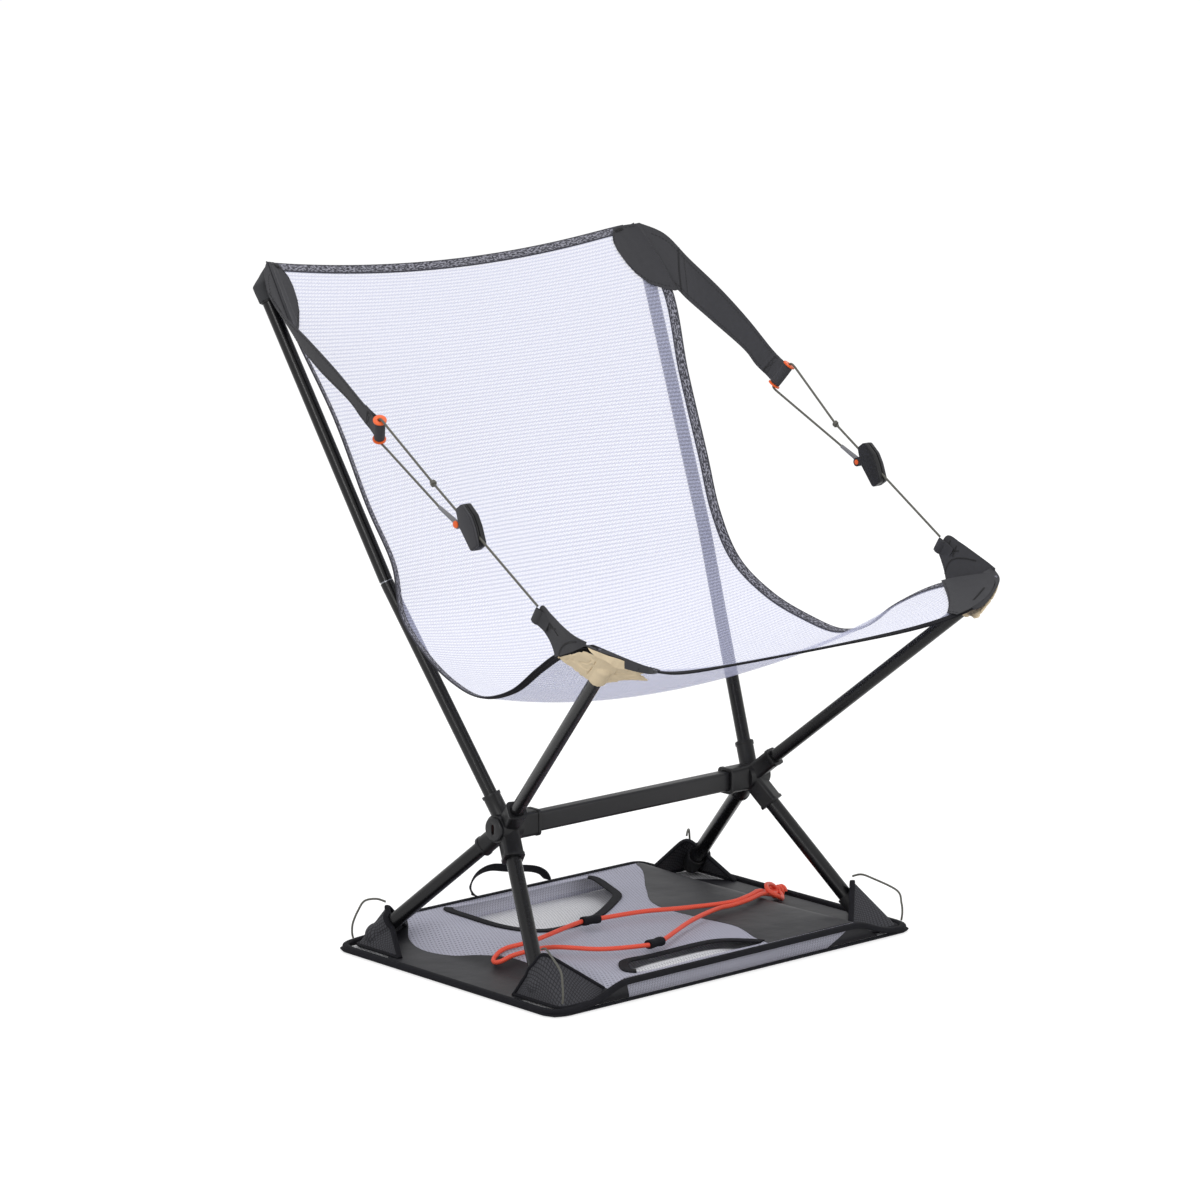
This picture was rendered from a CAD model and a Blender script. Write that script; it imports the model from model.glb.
"""Ultralight camp chair: the cloth, cords, bindings, stitching and finishes.

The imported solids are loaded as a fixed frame. Every piece here is made in that
frame, in metres: +Z is up, the sitter faces -Y, and left is -X.
"""

import math

import bmesh
import bpy
import numpy as np
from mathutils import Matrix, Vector, noise
from mathutils.geometry import delaunay_2d_cdt


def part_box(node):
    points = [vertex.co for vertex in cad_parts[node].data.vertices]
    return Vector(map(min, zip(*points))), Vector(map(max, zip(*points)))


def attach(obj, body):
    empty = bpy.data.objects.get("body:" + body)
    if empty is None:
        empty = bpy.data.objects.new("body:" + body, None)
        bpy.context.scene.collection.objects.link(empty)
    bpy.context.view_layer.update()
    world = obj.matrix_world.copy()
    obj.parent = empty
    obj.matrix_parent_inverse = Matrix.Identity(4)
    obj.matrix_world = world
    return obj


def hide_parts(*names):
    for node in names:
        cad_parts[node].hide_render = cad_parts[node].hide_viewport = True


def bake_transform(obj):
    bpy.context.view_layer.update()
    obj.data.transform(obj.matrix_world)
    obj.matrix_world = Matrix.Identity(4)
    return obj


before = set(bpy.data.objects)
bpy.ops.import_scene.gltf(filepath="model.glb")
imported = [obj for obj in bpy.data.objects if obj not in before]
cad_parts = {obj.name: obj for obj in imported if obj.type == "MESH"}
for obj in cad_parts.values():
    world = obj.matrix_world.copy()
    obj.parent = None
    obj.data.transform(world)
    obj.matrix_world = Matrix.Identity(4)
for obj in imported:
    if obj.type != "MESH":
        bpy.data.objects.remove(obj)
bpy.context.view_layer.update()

bl_info = {
    "name": "Ultralight camp chair",
    "version": (1, 0, 0),
    "blender": (4, 5, 0),
    "location": "View3D > Sidebar > Camp chair",
    "description": "Builds the sling, cords, ground sheet and finishes of a camp chair",
    "category": "Object",
}

MM = 0.001


# ---- Colours and sizes ----

def linear(code):
    """Linear red, green and blue of an sRGB hex colour."""
    parts = [int(code[i:i + 2], 16) / 255 for i in (1, 3, 5)]
    return tuple(c / 12.92 if c <= 0.04045 else ((c + 0.055) / 1.055) ** 2.4 for c in parts)


def colour(name, description, code):
    return bpy.props.FloatVectorProperty(
        name=name, description=description, subtype="COLOR", size=3, min=0, max=1,
        default=linear(code))


def length(name, description, millimetres):
    return bpy.props.FloatProperty(
        name=name, description=description, default=millimetres * MM, min=0,
        unit="LENGTH", precision=4)


class ChairColours(bpy.types.PropertyGroup):
    """Colours of the chair's cloths, cords and hard parts."""

    mesh: colour("Mesh", "Yarn of the see-through sling", "#cdd0ea")
    heather: colour("Heather tape", "Ground colour of the sling's edge tape", "#3a3a42")
    fleck: colour("Heather fleck", "Light fibres in the edge tape", "#9a9aa6")
    black_tape: colour("Black tape", "Plain binding of the sling and sheet", "#141418")
    panel: colour("Panel cloth", "Wings and front corners", "#3d3d40")
    pocket: colour("Pocket cloth", "Grid cloth of the ground sheet's pockets", "#4a4a4f")
    tan: colour("Tan cloth", "Sleeves under the front corners", "#e2cfae")
    sheet_mesh: colour("Sheet mesh", "Mesh of the ground sheet", "#c3c3d2")
    base_mesh: colour("Base mesh", "Paler mesh of the sheet's lower layer", "#e4e4f0")
    sheet_panel: colour("Sheet panel", "Coated ends of the ground sheet", "#212125")
    cord: colour("Cord", "Recline cords and stake loops", "#6b6a62")
    elastic: colour("Elastic", "Bungee and shock cords", "#f2553b")
    orange: colour("Orange", "Bushes and adjuster pins", "#e8622a")
    tube: colour("Tube", "Anodised poles and legs", "#0f0f11")
    bar: colour("Crossbar", "Anodised crossbar", "#1f1f21")
    nylon: colour("Nylon", "Hubs and adjusters", "#141416")


class ChairSizes(bpy.types.PropertyGroup):
    """Sizes of the cloths, cords and stitches."""

    mesh_thickness: length("Mesh thickness", "Thickness of the sling's mesh", 0.7)
    course: length("Mesh course", "Distance between rows of the sling's mesh", 3.7)
    panel_thickness: length("Panel thickness", "Thickness of wings and corners", 0.9)
    tape_width: length("Tape width", "Width of the sling's edge tape", 9.8)
    tape_thickness: length("Tape thickness", "Thickness of the sling's edge tape", 2.2)
    stitch: length("Stitch length", "Length of one stitch", 2.9)
    thread: length("Thread", "Radius of the sewing thread", 0.32)
    cord: length("Cord", "Diameter of the recline cord", 2.2)
    bungee: length("Bungee", "Diameter of the bungee", 4.4)
    sheet_thickness: length("Sheet thickness", "Thickness of the ground sheet's cloth", 0.8)
    wall: length("Wall height", "Height of the ground sheet's top layer", 19)


def sizes():
    return bpy.context.scene.chair_sizes


def colours():
    return bpy.context.scene.chair_colours


# ---- Places, as in the solid model ----

_caps_low, _caps_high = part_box("hub_caps")
HUB_Y = (_caps_low[1] + _caps_high[1]) / 2
HUB_Z = (_caps_low[2] + _caps_high[2]) / 2
CAP_FACE = 17.4 * MM
HUB_X = _caps_high[0] - CAP_FACE


def at(x, y, z):
    """A point from millimetres, with y counted from the hub axis."""
    return np.array([x * MM, y * MM + HUB_Y, z * MM])


HUB = np.array([HUB_X, HUB_Y, HUB_Z])
BACK_TIP = at(238, 249, 619)
SEAT_TIP = at(234, -223, 334)
REAR_FOOT = at(202, 133, 14)
FRONT_FOOT = at(202, -100, 14)
BACK_JOINT = HUB + (BACK_TIP - HUB) * 0.455 + np.array([8.5, 3, 0]) * MM
FOOT_R = 9 * MM
LEG_R = 7.2 * MM

BUSH = at(252, 62, 510)
CORD_END = at(252, -157, 379)
CORD_LEN = float(np.linalg.norm(CORD_END - BUSH))
CORD_TURN = math.atan2(BUSH[1] - CORD_END[1], CORD_END[2] - BUSH[2])
# Bush: half its height in millimetres and its lean in degrees. Running leg: the
# bead's distance down the cord, and how far it stands off the cord's axis there.
BUSH_HALF = 13
BUSH_ROLL = 21
BEAD_AT = 85
RUN_LIFT = 5

# Side edge and middle line of the sling, from the top edge to the front edge
SIDE_EDGE = np.array([
    at(232, 250, 642), at(239, 203, 583), at(224, 163, 505), at(216, 127, 428),
    at(208, 100, 375), at(215, 79, 330), at(221, 37, 301), at(228, -10, 284),
    at(230, -50, 278), at(228, -90, 290), at(229, -128, 317), at(240, -171, 340),
    at(252, -226, 355)])
MIDDLE_LINE = np.array([
    at(0, 250, 624), at(0, 222, 570), at(0, 188, 500), at(0, 158, 430),
    at(0, 132, 370), at(0, 104, 315), at(0, 62, 271), at(0, 12, 249),
    at(0, -36, 247), at(0, -84, 262), at(0, -128, 283), at(0, -172, 300),
    at(0, -208, 309)])
MESH_SHARE = 0.955

# Ground sheet: how far it reaches from the middle and from the hub axis, in millimetres
SHEET_LEFT, SHEET_RIGHT, SHEET_FRONT, SHEET_REAR = 226, 219, 149, 154
POCKET_X = 215
POCKET_REACH = 66
REAR_APEX = at(193, 131, 41)
FRONT_APEX = at(198, -98, 43)


def unit(v):
    v = np.asarray(v, float)
    return v / np.maximum(np.linalg.norm(v, axis=-1, keepdims=True), 1e-12)


def spline(points, u):
    """Smooth curve through points, for u from 0 to 1."""
    p = np.asarray(points, float)
    n = len(p) - 1
    x = np.clip(np.asarray(u, float) * n, 0, n - 1e-9)
    i = np.floor(x).astype(int)
    f = (x - i)[..., None]
    a, b, c, d = p[np.maximum(i - 1, 0)], p[i], p[i + 1], p[np.minimum(i + 2, n)]
    return 0.5 * (2 * b + (c - a) * f + (2 * a - 5 * b + 4 * c - d) * f ** 2
                  + (3 * b - a - 3 * c + d) * f ** 3)


def smooth_path(points, count):
    return spline(points, np.linspace(0, 1, count + 1))


def sling(u, t):
    """Sling surface: u from the top edge to the front edge, t from -1 to 1 across."""
    u, t = np.broadcast_arrays(np.asarray(u, float), np.asarray(t, float))
    edge, middle = spline(SIDE_EDGE, u), spline(MIDDLE_LINE, u)
    s = np.abs(t)
    k = 1 - s ** (2 + 1.3 * u ** 10)
    bulge = 320 * MM * u ** 20 * s ** 4 * np.maximum(0, 1 - s) ** 0.9
    hollow = 16 * MM * (1 - u) ** 3 * (1 - s ** 20)
    return np.stack([edge[..., 0] * t,
                     edge[..., 1] + (middle[..., 1] - edge[..., 1]) * k - bulge + hollow,
                     edge[..., 2] + (middle[..., 2] - edge[..., 2]) * k
                     - 0.03 * bulge - 0.1 * hollow], -1)


def in_cord_frame(x, y, z):
    """A point from millimetres in the cord's own frame: z from the bush to the seat
    corner, y square to it and up, x out."""
    c, s = math.cos(CORD_TURN), math.sin(CORD_TURN)
    return BUSH + np.array([x, y * c - z * s, y * s + z * c]) * MM


def in_bush_frame(x, y, z, roll=BUSH_ROLL):
    """The cord's frame rolled about z, as the bush and its strap lean."""
    c, s = math.cos(math.radians(roll)), math.sin(math.radians(roll))
    return in_cord_frame(x * c + y * s, y * c - x * s, z)


def run_y(z):
    """Height of the running leg over the cord's axis, down to none at its end."""
    return RUN_LIFT - RUN_LIFT / (CORD_LEN / MM - BEAD_AT) * (z - BEAD_AT)


# ---- Modelling tools ----

def select_only(piece):
    bpy.ops.object.select_all(action="DESELECT")
    piece.select_set(True)
    bpy.context.view_layer.objects.active = piece


def apply_modifier(piece, kind, **settings):
    select_only(piece)
    modifier = piece.modifiers.new(kind, kind)
    for key, value in settings.items():
        setattr(modifier, key, value)
    bpy.ops.object.modifier_apply(modifier=modifier.name)


def make_mesh(name, points, faces, corner_uv=None, side=1):
    """New mesh object. With side -1 it is mirrored to the chair's other side."""
    points = np.array(points, float)
    if side < 0:
        points[:, 0] *= -1
        faces = [tuple(reversed(f)) for f in faces]
        if corner_uv is not None:
            corner_uv = [list(reversed(c)) for c in corner_uv]
    mesh = bpy.data.meshes.new(name)
    mesh.from_pydata([tuple(p) for p in points], [], [tuple(int(i) for i in f) for f in faces])
    if corner_uv is not None:
        layer = mesh.uv_layers.new(name="cloth")
        layer.data.foreach_set("uv", [x for c in corner_uv for uv in c for x in uv])
    piece = bpy.data.objects.new(name, mesh)
    bpy.context.scene.collection.objects.link(piece)
    return piece


def signed_volume(piece):
    """Volume of a closed skin, negative where its faces point inwards."""
    shape = bmesh.new()
    shape.from_mesh(piece.data)
    volume = shape.calc_volume(signed=True)
    shape.free()
    return volume


def finish_piece(piece, *materials, body="chair", slot=None, replaces=(), angle=40):
    """Shading, materials, the body it moves with and the solids it stands for."""
    piece.data.materials.clear()
    for material in materials:
        piece.data.materials.append(material)
    select_only(piece)
    if signed_volume(piece) < 0:
        bpy.ops.object.mode_set(mode="EDIT")
        bpy.ops.mesh.select_all(action="SELECT")
        bpy.ops.mesh.flip_normals()
        bpy.ops.object.mode_set(mode="OBJECT")
    bpy.ops.object.shade_smooth_by_angle(angle=math.radians(angle))
    if body:
        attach(piece, body)
    if replaces:
        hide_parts(*([replaces] if isinstance(replaces, str) else replaces))
    return piece


def grid_normals(grid):
    return unit(np.cross(np.gradient(grid, axis=0), np.gradient(grid, axis=1)))


def on_cloth(grid, rows, columns, lift=0.0):
    """Points at fractions of a grid's rows and columns, raised by lift."""
    def pick(values):
        r = np.clip(np.asarray(rows, float) * (len(grid) - 1), 0, len(grid) - 1 - 1e-9)
        c = np.clip(np.asarray(columns, float) * (len(grid[0]) - 1), 0,
                    len(grid[0]) - 1 - 1e-9)
        i, j = r.astype(int), c.astype(int)
        f, g = (r - i)[..., None], (c - j)[..., None]
        return ((1 - f) * (1 - g) * values[i, j] + f * (1 - g) * values[i + 1, j]
                + (1 - f) * g * values[i, j + 1] + f * g * values[i + 1, j + 1])
    return pick(grid) + unit(pick(grid_normals(grid))) * lift


def cloth(name, grid, thickness, lift=0.0, side=1):
    """Closed cloth on a grid of points, with a UV map in metres."""
    grid = grid + grid_normals(grid) * lift
    rows, columns = grid.shape[:2]
    down = np.linalg.norm(np.diff(grid, axis=0), axis=-1).mean(1)
    across = np.linalg.norm(np.diff(grid, axis=1), axis=-1)
    v = np.concatenate([[0], np.cumsum(down)])
    u = np.concatenate([np.zeros((rows, 1)), np.cumsum(across, axis=1)], axis=1)
    u -= u[:, -1:] / 2
    faces, corners = [], []
    for i in range(rows - 1):
        for j in range(columns - 1):
            ring = [(i, j), (i + 1, j), (i + 1, j + 1), (i, j + 1)]
            faces.append([r * columns + c for r, c in ring])
            corners.append([(u[r, c], v[r]) for r, c in ring])
    piece = make_mesh(name, grid.reshape(-1, 3), faces, corners, side)
    apply_modifier(piece, "SOLIDIFY", thickness=thickness, offset=0)
    return piece


def steps_along(path):
    return np.concatenate([[0], np.cumsum(np.linalg.norm(np.diff(path, axis=0), axis=1))])


def resample(path, step):
    s = steps_along(path)
    want = np.linspace(0, s[-1], max(2, int(round(s[-1] / step)) + 1))
    return np.stack([np.interp(want, s, path[:, k]) for k in range(3)], -1)


def path_directions(path, closed=False):
    if closed:
        return unit(np.roll(path, -1, 0) - np.roll(path, 1, 0))
    return unit(np.gradient(path, axis=0))


def carried_normals(path, start=(0, 0, 1)):
    """Normals carried along a path so that the skin doesn't twist."""
    way = path_directions(path)
    normal = np.array(start, float)
    if abs(way[0] @ unit(normal)) > 0.9:
        normal = np.array([1.0, 0, 0])
    out = []
    for d in way:
        normal = unit(normal - d * (normal @ d))
        out.append(normal)
    return np.array(out)


def sweep(name, path, normals, section, across=None, scale=None, closed=False, side=1):
    """Skin of a section carried along a path. The section's points are (sideways,
    along the normal) and turn left; across gives their UV, one more value than points."""
    path, section = np.asarray(path, float), np.asarray(section, float)
    way = path_directions(path, closed)
    normals = np.broadcast_to(normals, path.shape)
    normals = unit(normals - way * (normals * way).sum(1, keepdims=True))
    sideways = np.cross(way, normals)
    scale = np.ones(len(path)) if scale is None else np.asarray(scale, float)
    rings = (path[:, None]
             + sideways[:, None] * section[None, :, :1] * scale[:, None, None]
             + normals[:, None] * section[None, :, 1:] * scale[:, None, None])
    count, sides = len(path), len(section)
    if across is None:
        edge = np.linalg.norm(section - np.roll(section, -1, 0), axis=1)
        across = np.concatenate([[0], np.cumsum(edge)])
    s = steps_along(path if not closed else np.vstack([path, path[:1]]))
    faces, corners = [], []
    for i in range(count if closed else count - 1):
        n = (i + 1) % count
        for k in range(sides):
            m = (k + 1) % sides
            faces.append([i * sides + k, n * sides + k, n * sides + m, i * sides + m])
            corners.append([(s[i], across[k]), (s[i + 1], across[k]),
                            (s[i + 1], across[k + 1]), (s[i], across[k + 1])])
    if not closed:
        faces.append(list(range(sides)))
        corners.append([(s[0], across[k]) for k in range(sides)])
        faces.append([(count - 1) * sides + k for k in reversed(range(sides))])
        corners.append([(s[-1], across[k]) for k in reversed(range(sides))])
    return make_mesh(name, rings.reshape(-1, 3), faces, corners, side)


def round_section(radius, sides=12):
    turn = 2 * math.pi * np.arange(sides) / sides
    return np.stack([np.cos(turn), np.sin(turn)], -1) * radius


def tape_section(width, thickness, power=0.35):
    """Flat tape with rolled edges, squarer at a lower power."""
    turn = 2 * math.pi * (np.arange(20) + 0.5) / 20
    c, s = np.cos(turn), np.sin(turn)
    return np.stack([np.sign(c) * np.abs(c) ** power * width / 2,
                     np.sign(s) * np.abs(s) ** 0.8 * thickness / 2], -1)


def tape_across(section):
    return np.concatenate([section[:, 0], section[:1, 0]])


def folded_tape(width, thickness):
    """Tape folded over an edge: full at the fold, pinched at its two stitch rows."""
    shares = [(-0.5, 0), (-0.485, 0.45), (-0.44, 0.8), (-0.36, 1), (-0.24, 0.9), (-0.16, 0.74),
              (-0.08, 0.92), (0.08, 0.98), (0.2, 0.8), (0.28, 0.6), (0.34, 0.74), (0.42, 0.72),
              (0.475, 0.5), (0.5, 0.2)]
    top = [(x * width, h * thickness / 2) for x, h in shares]
    low = [(x, -h) for x, h in reversed(top[1:])]
    return np.array(low + top)


def spindle(start, end, radius):
    """Points and faces of one stitch: a short six-sided rod with rounded ends."""
    sides = 6
    way = unit(end - start)
    a = unit(np.cross(way, [0.3, 0.2, 0.93]))
    b = np.cross(way, a)
    points = [start]
    for share, size in ((0.12, 0.75), (0.35, 1), (0.65, 1), (0.88, 0.75)):
        for k in range(sides):
            turn = 2 * math.pi * k / sides
            points.append(start + (end - start) * share
                          + radius * size * (a * math.cos(turn) + b * math.sin(turn)))
    points.append(end)
    faces = [(0, 1 + (k + 1) % sides, 1 + k) for k in range(sides)]
    for r in range(3):
        for k in range(sides):
            m = (k + 1) % sides
            faces.append((1 + r * sides + k, 1 + r * sides + m,
                          1 + (r + 1) * sides + m, 1 + (r + 1) * sides + k))
    last = len(points) - 1
    faces += [(last, 1 + 3 * sides + k, 1 + 3 * sides + (k + 1) % sides) for k in range(sides)]
    return points, faces


def thread_piece(name, segments, side=1):
    """All the stitches of one seam as one piece."""
    points, faces = [], []
    for start, end in segments:
        more, rings = spindle(np.asarray(start), np.asarray(end), sizes().thread)
        faces += [tuple(i + len(points) for i in f) for f in rings]
        points += more
    piece = make_mesh(name, points, faces, None, side)
    return finish_piece(piece, sewing_thread(), angle=60)


def running_stitch(path):
    """Stitches end to end along a path, with gaps where the thread dips."""
    knots = resample(np.asarray(path, float), sizes().stitch * 1.3)
    share = 0.72
    return [(a + (b - a) * (1 - share) / 2, b - (b - a) * (1 - share) / 2)
            for a, b in zip(knots[:-1], knots[1:])]


def bar_tack(start, end, normal, width, pitch=0.9 * MM):
    """Dense zigzag from start to end, pitch apart."""
    start, end = np.asarray(start, float), np.asarray(end, float)
    sideways = unit(np.cross(end - start, normal)) * width / 2
    count = max(2, int(np.linalg.norm(end - start) / pitch))
    knots = [start + (end - start) * k / count + sideways * (1 if k % 2 else -1)
             for k in range(count + 1)]
    return list(zip(knots[:-1], knots[1:]))


def inside(polygon, points):
    """True for each point inside a closed polygon in plan."""
    x, y = points[:, 0], points[:, 1]
    hit = np.zeros(len(points), bool)
    for (x0, y0), (x1, y1) in zip(polygon, np.roll(polygon, -1, 0)):
        cross = (y0 > y) != (y1 > y)
        with np.errstate(divide="ignore", invalid="ignore"):
            hit ^= cross & (x < (x1 - x0) * (y - y0) / (y1 - y0) + x0)
    return hit


def closed_resample(polygon, step):
    """Points step apart around a closed polygon in plan."""
    ring = np.vstack([polygon, polygon[:1]])
    ring = np.column_stack([ring, np.zeros(len(ring))])
    return resample(ring, step)[:-1, :2]


def laid_cloth(name, outline, holes, height, thickness, step=5 * MM):
    """Cloth cut to an outline in plan, with holes, laid over a height function, and
    the area of its plan."""
    rings = [closed_resample(np.asarray(r, float), step) for r in [outline, *holes]]
    low, high = rings[0].min(0), rings[0].max(0)
    mesh_x, mesh_y = np.meshgrid(np.arange(low[0], high[0], step),
                                 np.arange(low[1], high[1], step))
    mesh_x[1::2] += step / 2
    inner = np.column_stack([mesh_x.ravel(), mesh_y.ravel()])
    keep = inside(rings[0], inner)
    for hole in rings[1:]:
        keep &= ~inside(hole, inner)
    inner = inner[keep]
    rim = np.vstack(rings)
    far = np.array([np.min(np.hypot(*(rim - p).T)) > step * 0.55 for p in inner], bool)
    inner = inner[far]
    edges, start = [], 0
    for ring in rings:
        edges += [(start + k, start + (k + 1) % len(ring)) for k in range(len(ring))]
        start += len(ring)
    flat = np.vstack([rim, inner])
    found = delaunay_2d_cdt([Vector(p) for p in flat], edges, [], 0, 1e-7)
    plan = np.array([tuple(p) for p in found[0]])
    triangles = np.array(found[2])
    middle = plan[triangles].mean(1)
    good = inside(rings[0], middle)
    for hole in rings[1:]:
        good &= ~inside(hole, middle)
    triangles = triangles[good]
    points = np.column_stack([plan, height(plan[:, 0], plan[:, 1])])
    corners = [[tuple(plan[i]) for i in f] for f in triangles]
    piece = make_mesh(name, points, [tuple(f) for f in triangles], corners)
    area = sum(abs(np.cross(points[f[1]] - points[f[0]], points[f[2]] - points[f[0]])[2]) / 2
               for f in triangles)
    apply_modifier(piece, "SOLIDIFY", thickness=thickness, offset=0)
    return piece, float(area)


def bevelled_copy(node, width):
    """Copy of a solid with its doubles merged and its edges broken."""
    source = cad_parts[node]
    piece = bpy.data.objects.new(f"{node}_finished", source.data.copy())
    bpy.context.scene.collection.objects.link(piece)
    select_only(piece)
    bpy.ops.object.mode_set(mode="EDIT")
    bpy.ops.mesh.select_all(action="SELECT")
    bpy.ops.mesh.remove_doubles(threshold=0.02 * MM)
    bpy.ops.mesh.customdata_custom_splitnormals_clear()
    bpy.ops.mesh.dissolve_limited(angle_limit=math.radians(2))
    bpy.ops.object.mode_set(mode="OBJECT")
    apply_modifier(piece, "BEVEL", width=width, segments=2, limit_method="ANGLE",
                   angle_limit=math.radians(35), use_clamp_overlap=True)
    return piece


def move_points(piece, change):
    """Moves a mesh's vertices by a function of their places and normals."""
    mesh = piece.data
    points = np.empty(len(mesh.vertices) * 3)
    normals = np.empty(len(mesh.vertices) * 3)
    mesh.vertices.foreach_get("co", points)
    mesh.vertices.foreach_get("normal", normals)
    points = change(points.reshape(-1, 3), normals.reshape(-1, 3))
    mesh.vertices.foreach_set("co", np.asarray(points).ravel())
    mesh.update()


def ripple(points, size, seed):
    """Soft noise from -1 to 1 at each point, size metres across."""
    return np.array([noise.noise(Vector(p / size) + Vector((seed, 0, 0))) for p in points])


# ---- Materials ----

_made = {}


def set_inputs(tree, node, inputs):
    """Links each input that is given a socket, and sets the others."""
    for key, value in inputs.items():
        socket = node.inputs[key]
        if isinstance(value, bpy.types.NodeSocket):
            tree.links.new(value, socket)
        elif socket.type == "RGBA":
            socket.default_value = (*value[:3], 1.0)
        else:
            socket.default_value = value


def add_node(tree, kind, inputs=None, **settings):
    """A node with its settings, its input values and its links."""
    node = tree.nodes.new(kind)
    for key, value in settings.items():
        setattr(node, key, value)
    set_inputs(tree, node, inputs or {})
    return node


def material(name, reads="UV"):
    """Makes a finish once, under its name, on the UV map or on Object coordinates."""
    def wrap(build):
        def get():
            if name not in _made:
                made = bpy.data.materials.new(name)
                made.use_nodes = True
                tree = made.node_tree
                tree.nodes.clear()
                shader = add_node(tree, "ShaderNodeBsdfPrincipled")
                add_node(tree, "ShaderNodeOutputMaterial", {"Surface": shader.outputs[0]})
                place = add_node(tree, "ShaderNodeTexCoord").outputs[reads]
                build(tree, shader, place)
                _made[name] = made
            return _made[name]
        return get
    return wrap


def shade(rgb, factor):
    """A colour made darker or lighter."""
    return [min(1, c * factor) for c in rgb]


def bands(pitch):
    """Scale of a Wave Texture whose bands lie pitch metres apart."""
    return math.pi / 10 / pitch


def two_toned(tree, shader, share, dark, light, height, depth, strength, **surface):
    """A finish between two colours, with a relief of the given depth, and its surface:
    surface holds the shader's other inputs, with _ for a space."""
    tone = add_node(tree, "ShaderNodeMix", {"Factor": share, 6: dark, 7: light},
                    data_type="RGBA").outputs[2]
    bump = add_node(tree, "ShaderNodeBump",
                    {"Height": height, "Distance": depth, "Strength": strength}).outputs[0]
    set_inputs(tree, shader, {"Base Color": tone, "Normal": bump})
    set_inputs(tree, shader, {key.replace("_", " "): value for key, value in surface.items()})


def woven(tree, shader, uv, rgb, pitch, depth, dark, light, roughness):
    """Plain weave: threads pitch apart both ways, with slubs."""
    warp, weft = (add_node(tree, "ShaderNodeTexWave", {"Vector": uv, "Scale": bands(pitch)},
                           bands_direction=way).outputs["Fac"] for way in "XY")
    height = add_node(tree, "ShaderNodeMath", {0: warp, 1: weft},
                      operation="MULTIPLY").outputs[0]
    slub = add_node(tree, "ShaderNodeTexNoise",
                    {"Vector": uv, "Scale": 0.16 / pitch, "Detail": 3.0}).outputs["Fac"]
    mixed = add_node(tree, "ShaderNodeMath", {0: height, 1: slub}, operation="ADD").outputs[0]
    share = add_node(tree, "ShaderNodeMapRange",
                     {"Value": mixed, "From Min": 0.25, "From Max": 1.3}).outputs[0]
    two_toned(tree, shader, share, shade(rgb, dark), shade(rgb, light), mixed, depth, 0.6,
              Roughness=roughness, Specular_IOR_Level=0.15)


@material("warp_knit_nylon_mesh")
def sling_mesh_cloth(tree, shader, uv):
    # Fine nylon mesh, knitted in courses that run across the sling. Light comes
    # through its holes, so it reads as pale lavender lines on what is behind it.
    # The courses are drawn about twice as far apart as real ones so that they show.
    course = sizes().course
    holes = add_node(tree, "ShaderNodeTexBrick",
                     {"Vector": uv, "Scale": 1.0, "Mortar Size": course * 0.13,
                      "Mortar Smooth": 0.35, "Brick Width": course * 1.1, "Row Height": course},
                     offset=0.5, offset_frequency=2)
    rows = add_node(tree, "ShaderNodeTexWave", {"Vector": uv, "Scale": bands(course),
                                                "Distortion": 0.25, "Detail": 1.0},
                    bands_direction="Y").outputs["Fac"]
    yarn = add_node(tree, "ShaderNodeMath", {0: holes.outputs["Fac"], 1: 0.3},
                    operation="MULTIPLY").outputs[0]
    both = add_node(tree, "ShaderNodeMath", {0: rows, 1: 0.7, 2: yarn},
                    operation="MULTIPLY_ADD").outputs[0]
    # Two layers of the mesh's thickness together cover about half of what is behind
    cover = add_node(tree, "ShaderNodeMapRange",
                     {"Value": both, "From Max": 0.95, "To Min": 0.1, "To Max": 0.56}).outputs[0]
    rgb = colours().mesh
    tone = add_node(tree, "ShaderNodeMix",
                    {"Factor": both, 6: shade(rgb, 1.15), 7: shade(rgb, 0.88)},
                    data_type="RGBA").outputs[2]
    set_inputs(tree, shader, {"Base Color": tone, "Alpha": cover, "Roughness": 0.6,
                              "Specular IOR Level": 0.2})


@material("heather_grosgrain_tape")
def heather_tape(tree, shader, uv):
    # Grosgrain folded over the edge: dark ground with pale fibres along its
    # ribs, and a darker outer fold.
    stretched = add_node(tree, "ShaderNodeMapping", {"Vector": uv, "Scale": (300, 850, 1)})
    fibre = add_node(tree, "ShaderNodeTexNoise",
                     {"Vector": stretched.outputs[0], "Scale": 1.0, "Detail": 2.0}).outputs["Fac"]
    ribs = add_node(tree, "ShaderNodeTexWave", {"Vector": uv, "Scale": bands(1.6 * MM)},
                    bands_direction="X").outputs["Fac"]
    fleck = add_node(tree, "ShaderNodeMapRange",
                     {"Value": fibre, "From Min": 0.46, "From Max": 0.58}).outputs[0]
    across = add_node(tree, "ShaderNodeSeparateXYZ", {"Vector": uv}).outputs["Y"]
    off = add_node(tree, "ShaderNodeMath", {0: across}, operation="ABSOLUTE").outputs[0]
    fold = add_node(tree, "ShaderNodeMapRange",
                    {"Value": off, "From Min": 4.1 * MM, "From Max": 3.0 * MM}).outputs[0]
    share = add_node(tree, "ShaderNodeMath", {0: fleck, 1: fold},
                     operation="MULTIPLY").outputs[0]
    ground = add_node(tree, "ShaderNodeMix",
                      {"Factor": ribs, 6: shade(colours().heather, 0.7), 7: colours().heather},
                      data_type="RGBA").outputs[2]
    two_toned(tree, shader, share, ground, colours().fleck, ribs, 0.25 * MM, 0.7,
              Roughness=0.9)


@material("black_binding_tape")
def black_tape(tree, shader, uv):
    # Plain polyester binding, ribbed across, matt with a faint sheen.
    woven(tree, shader, uv, colours().black_tape, 1.3 * MM, 0.2 * MM, 0.7, 1.9, 0.82)


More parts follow.
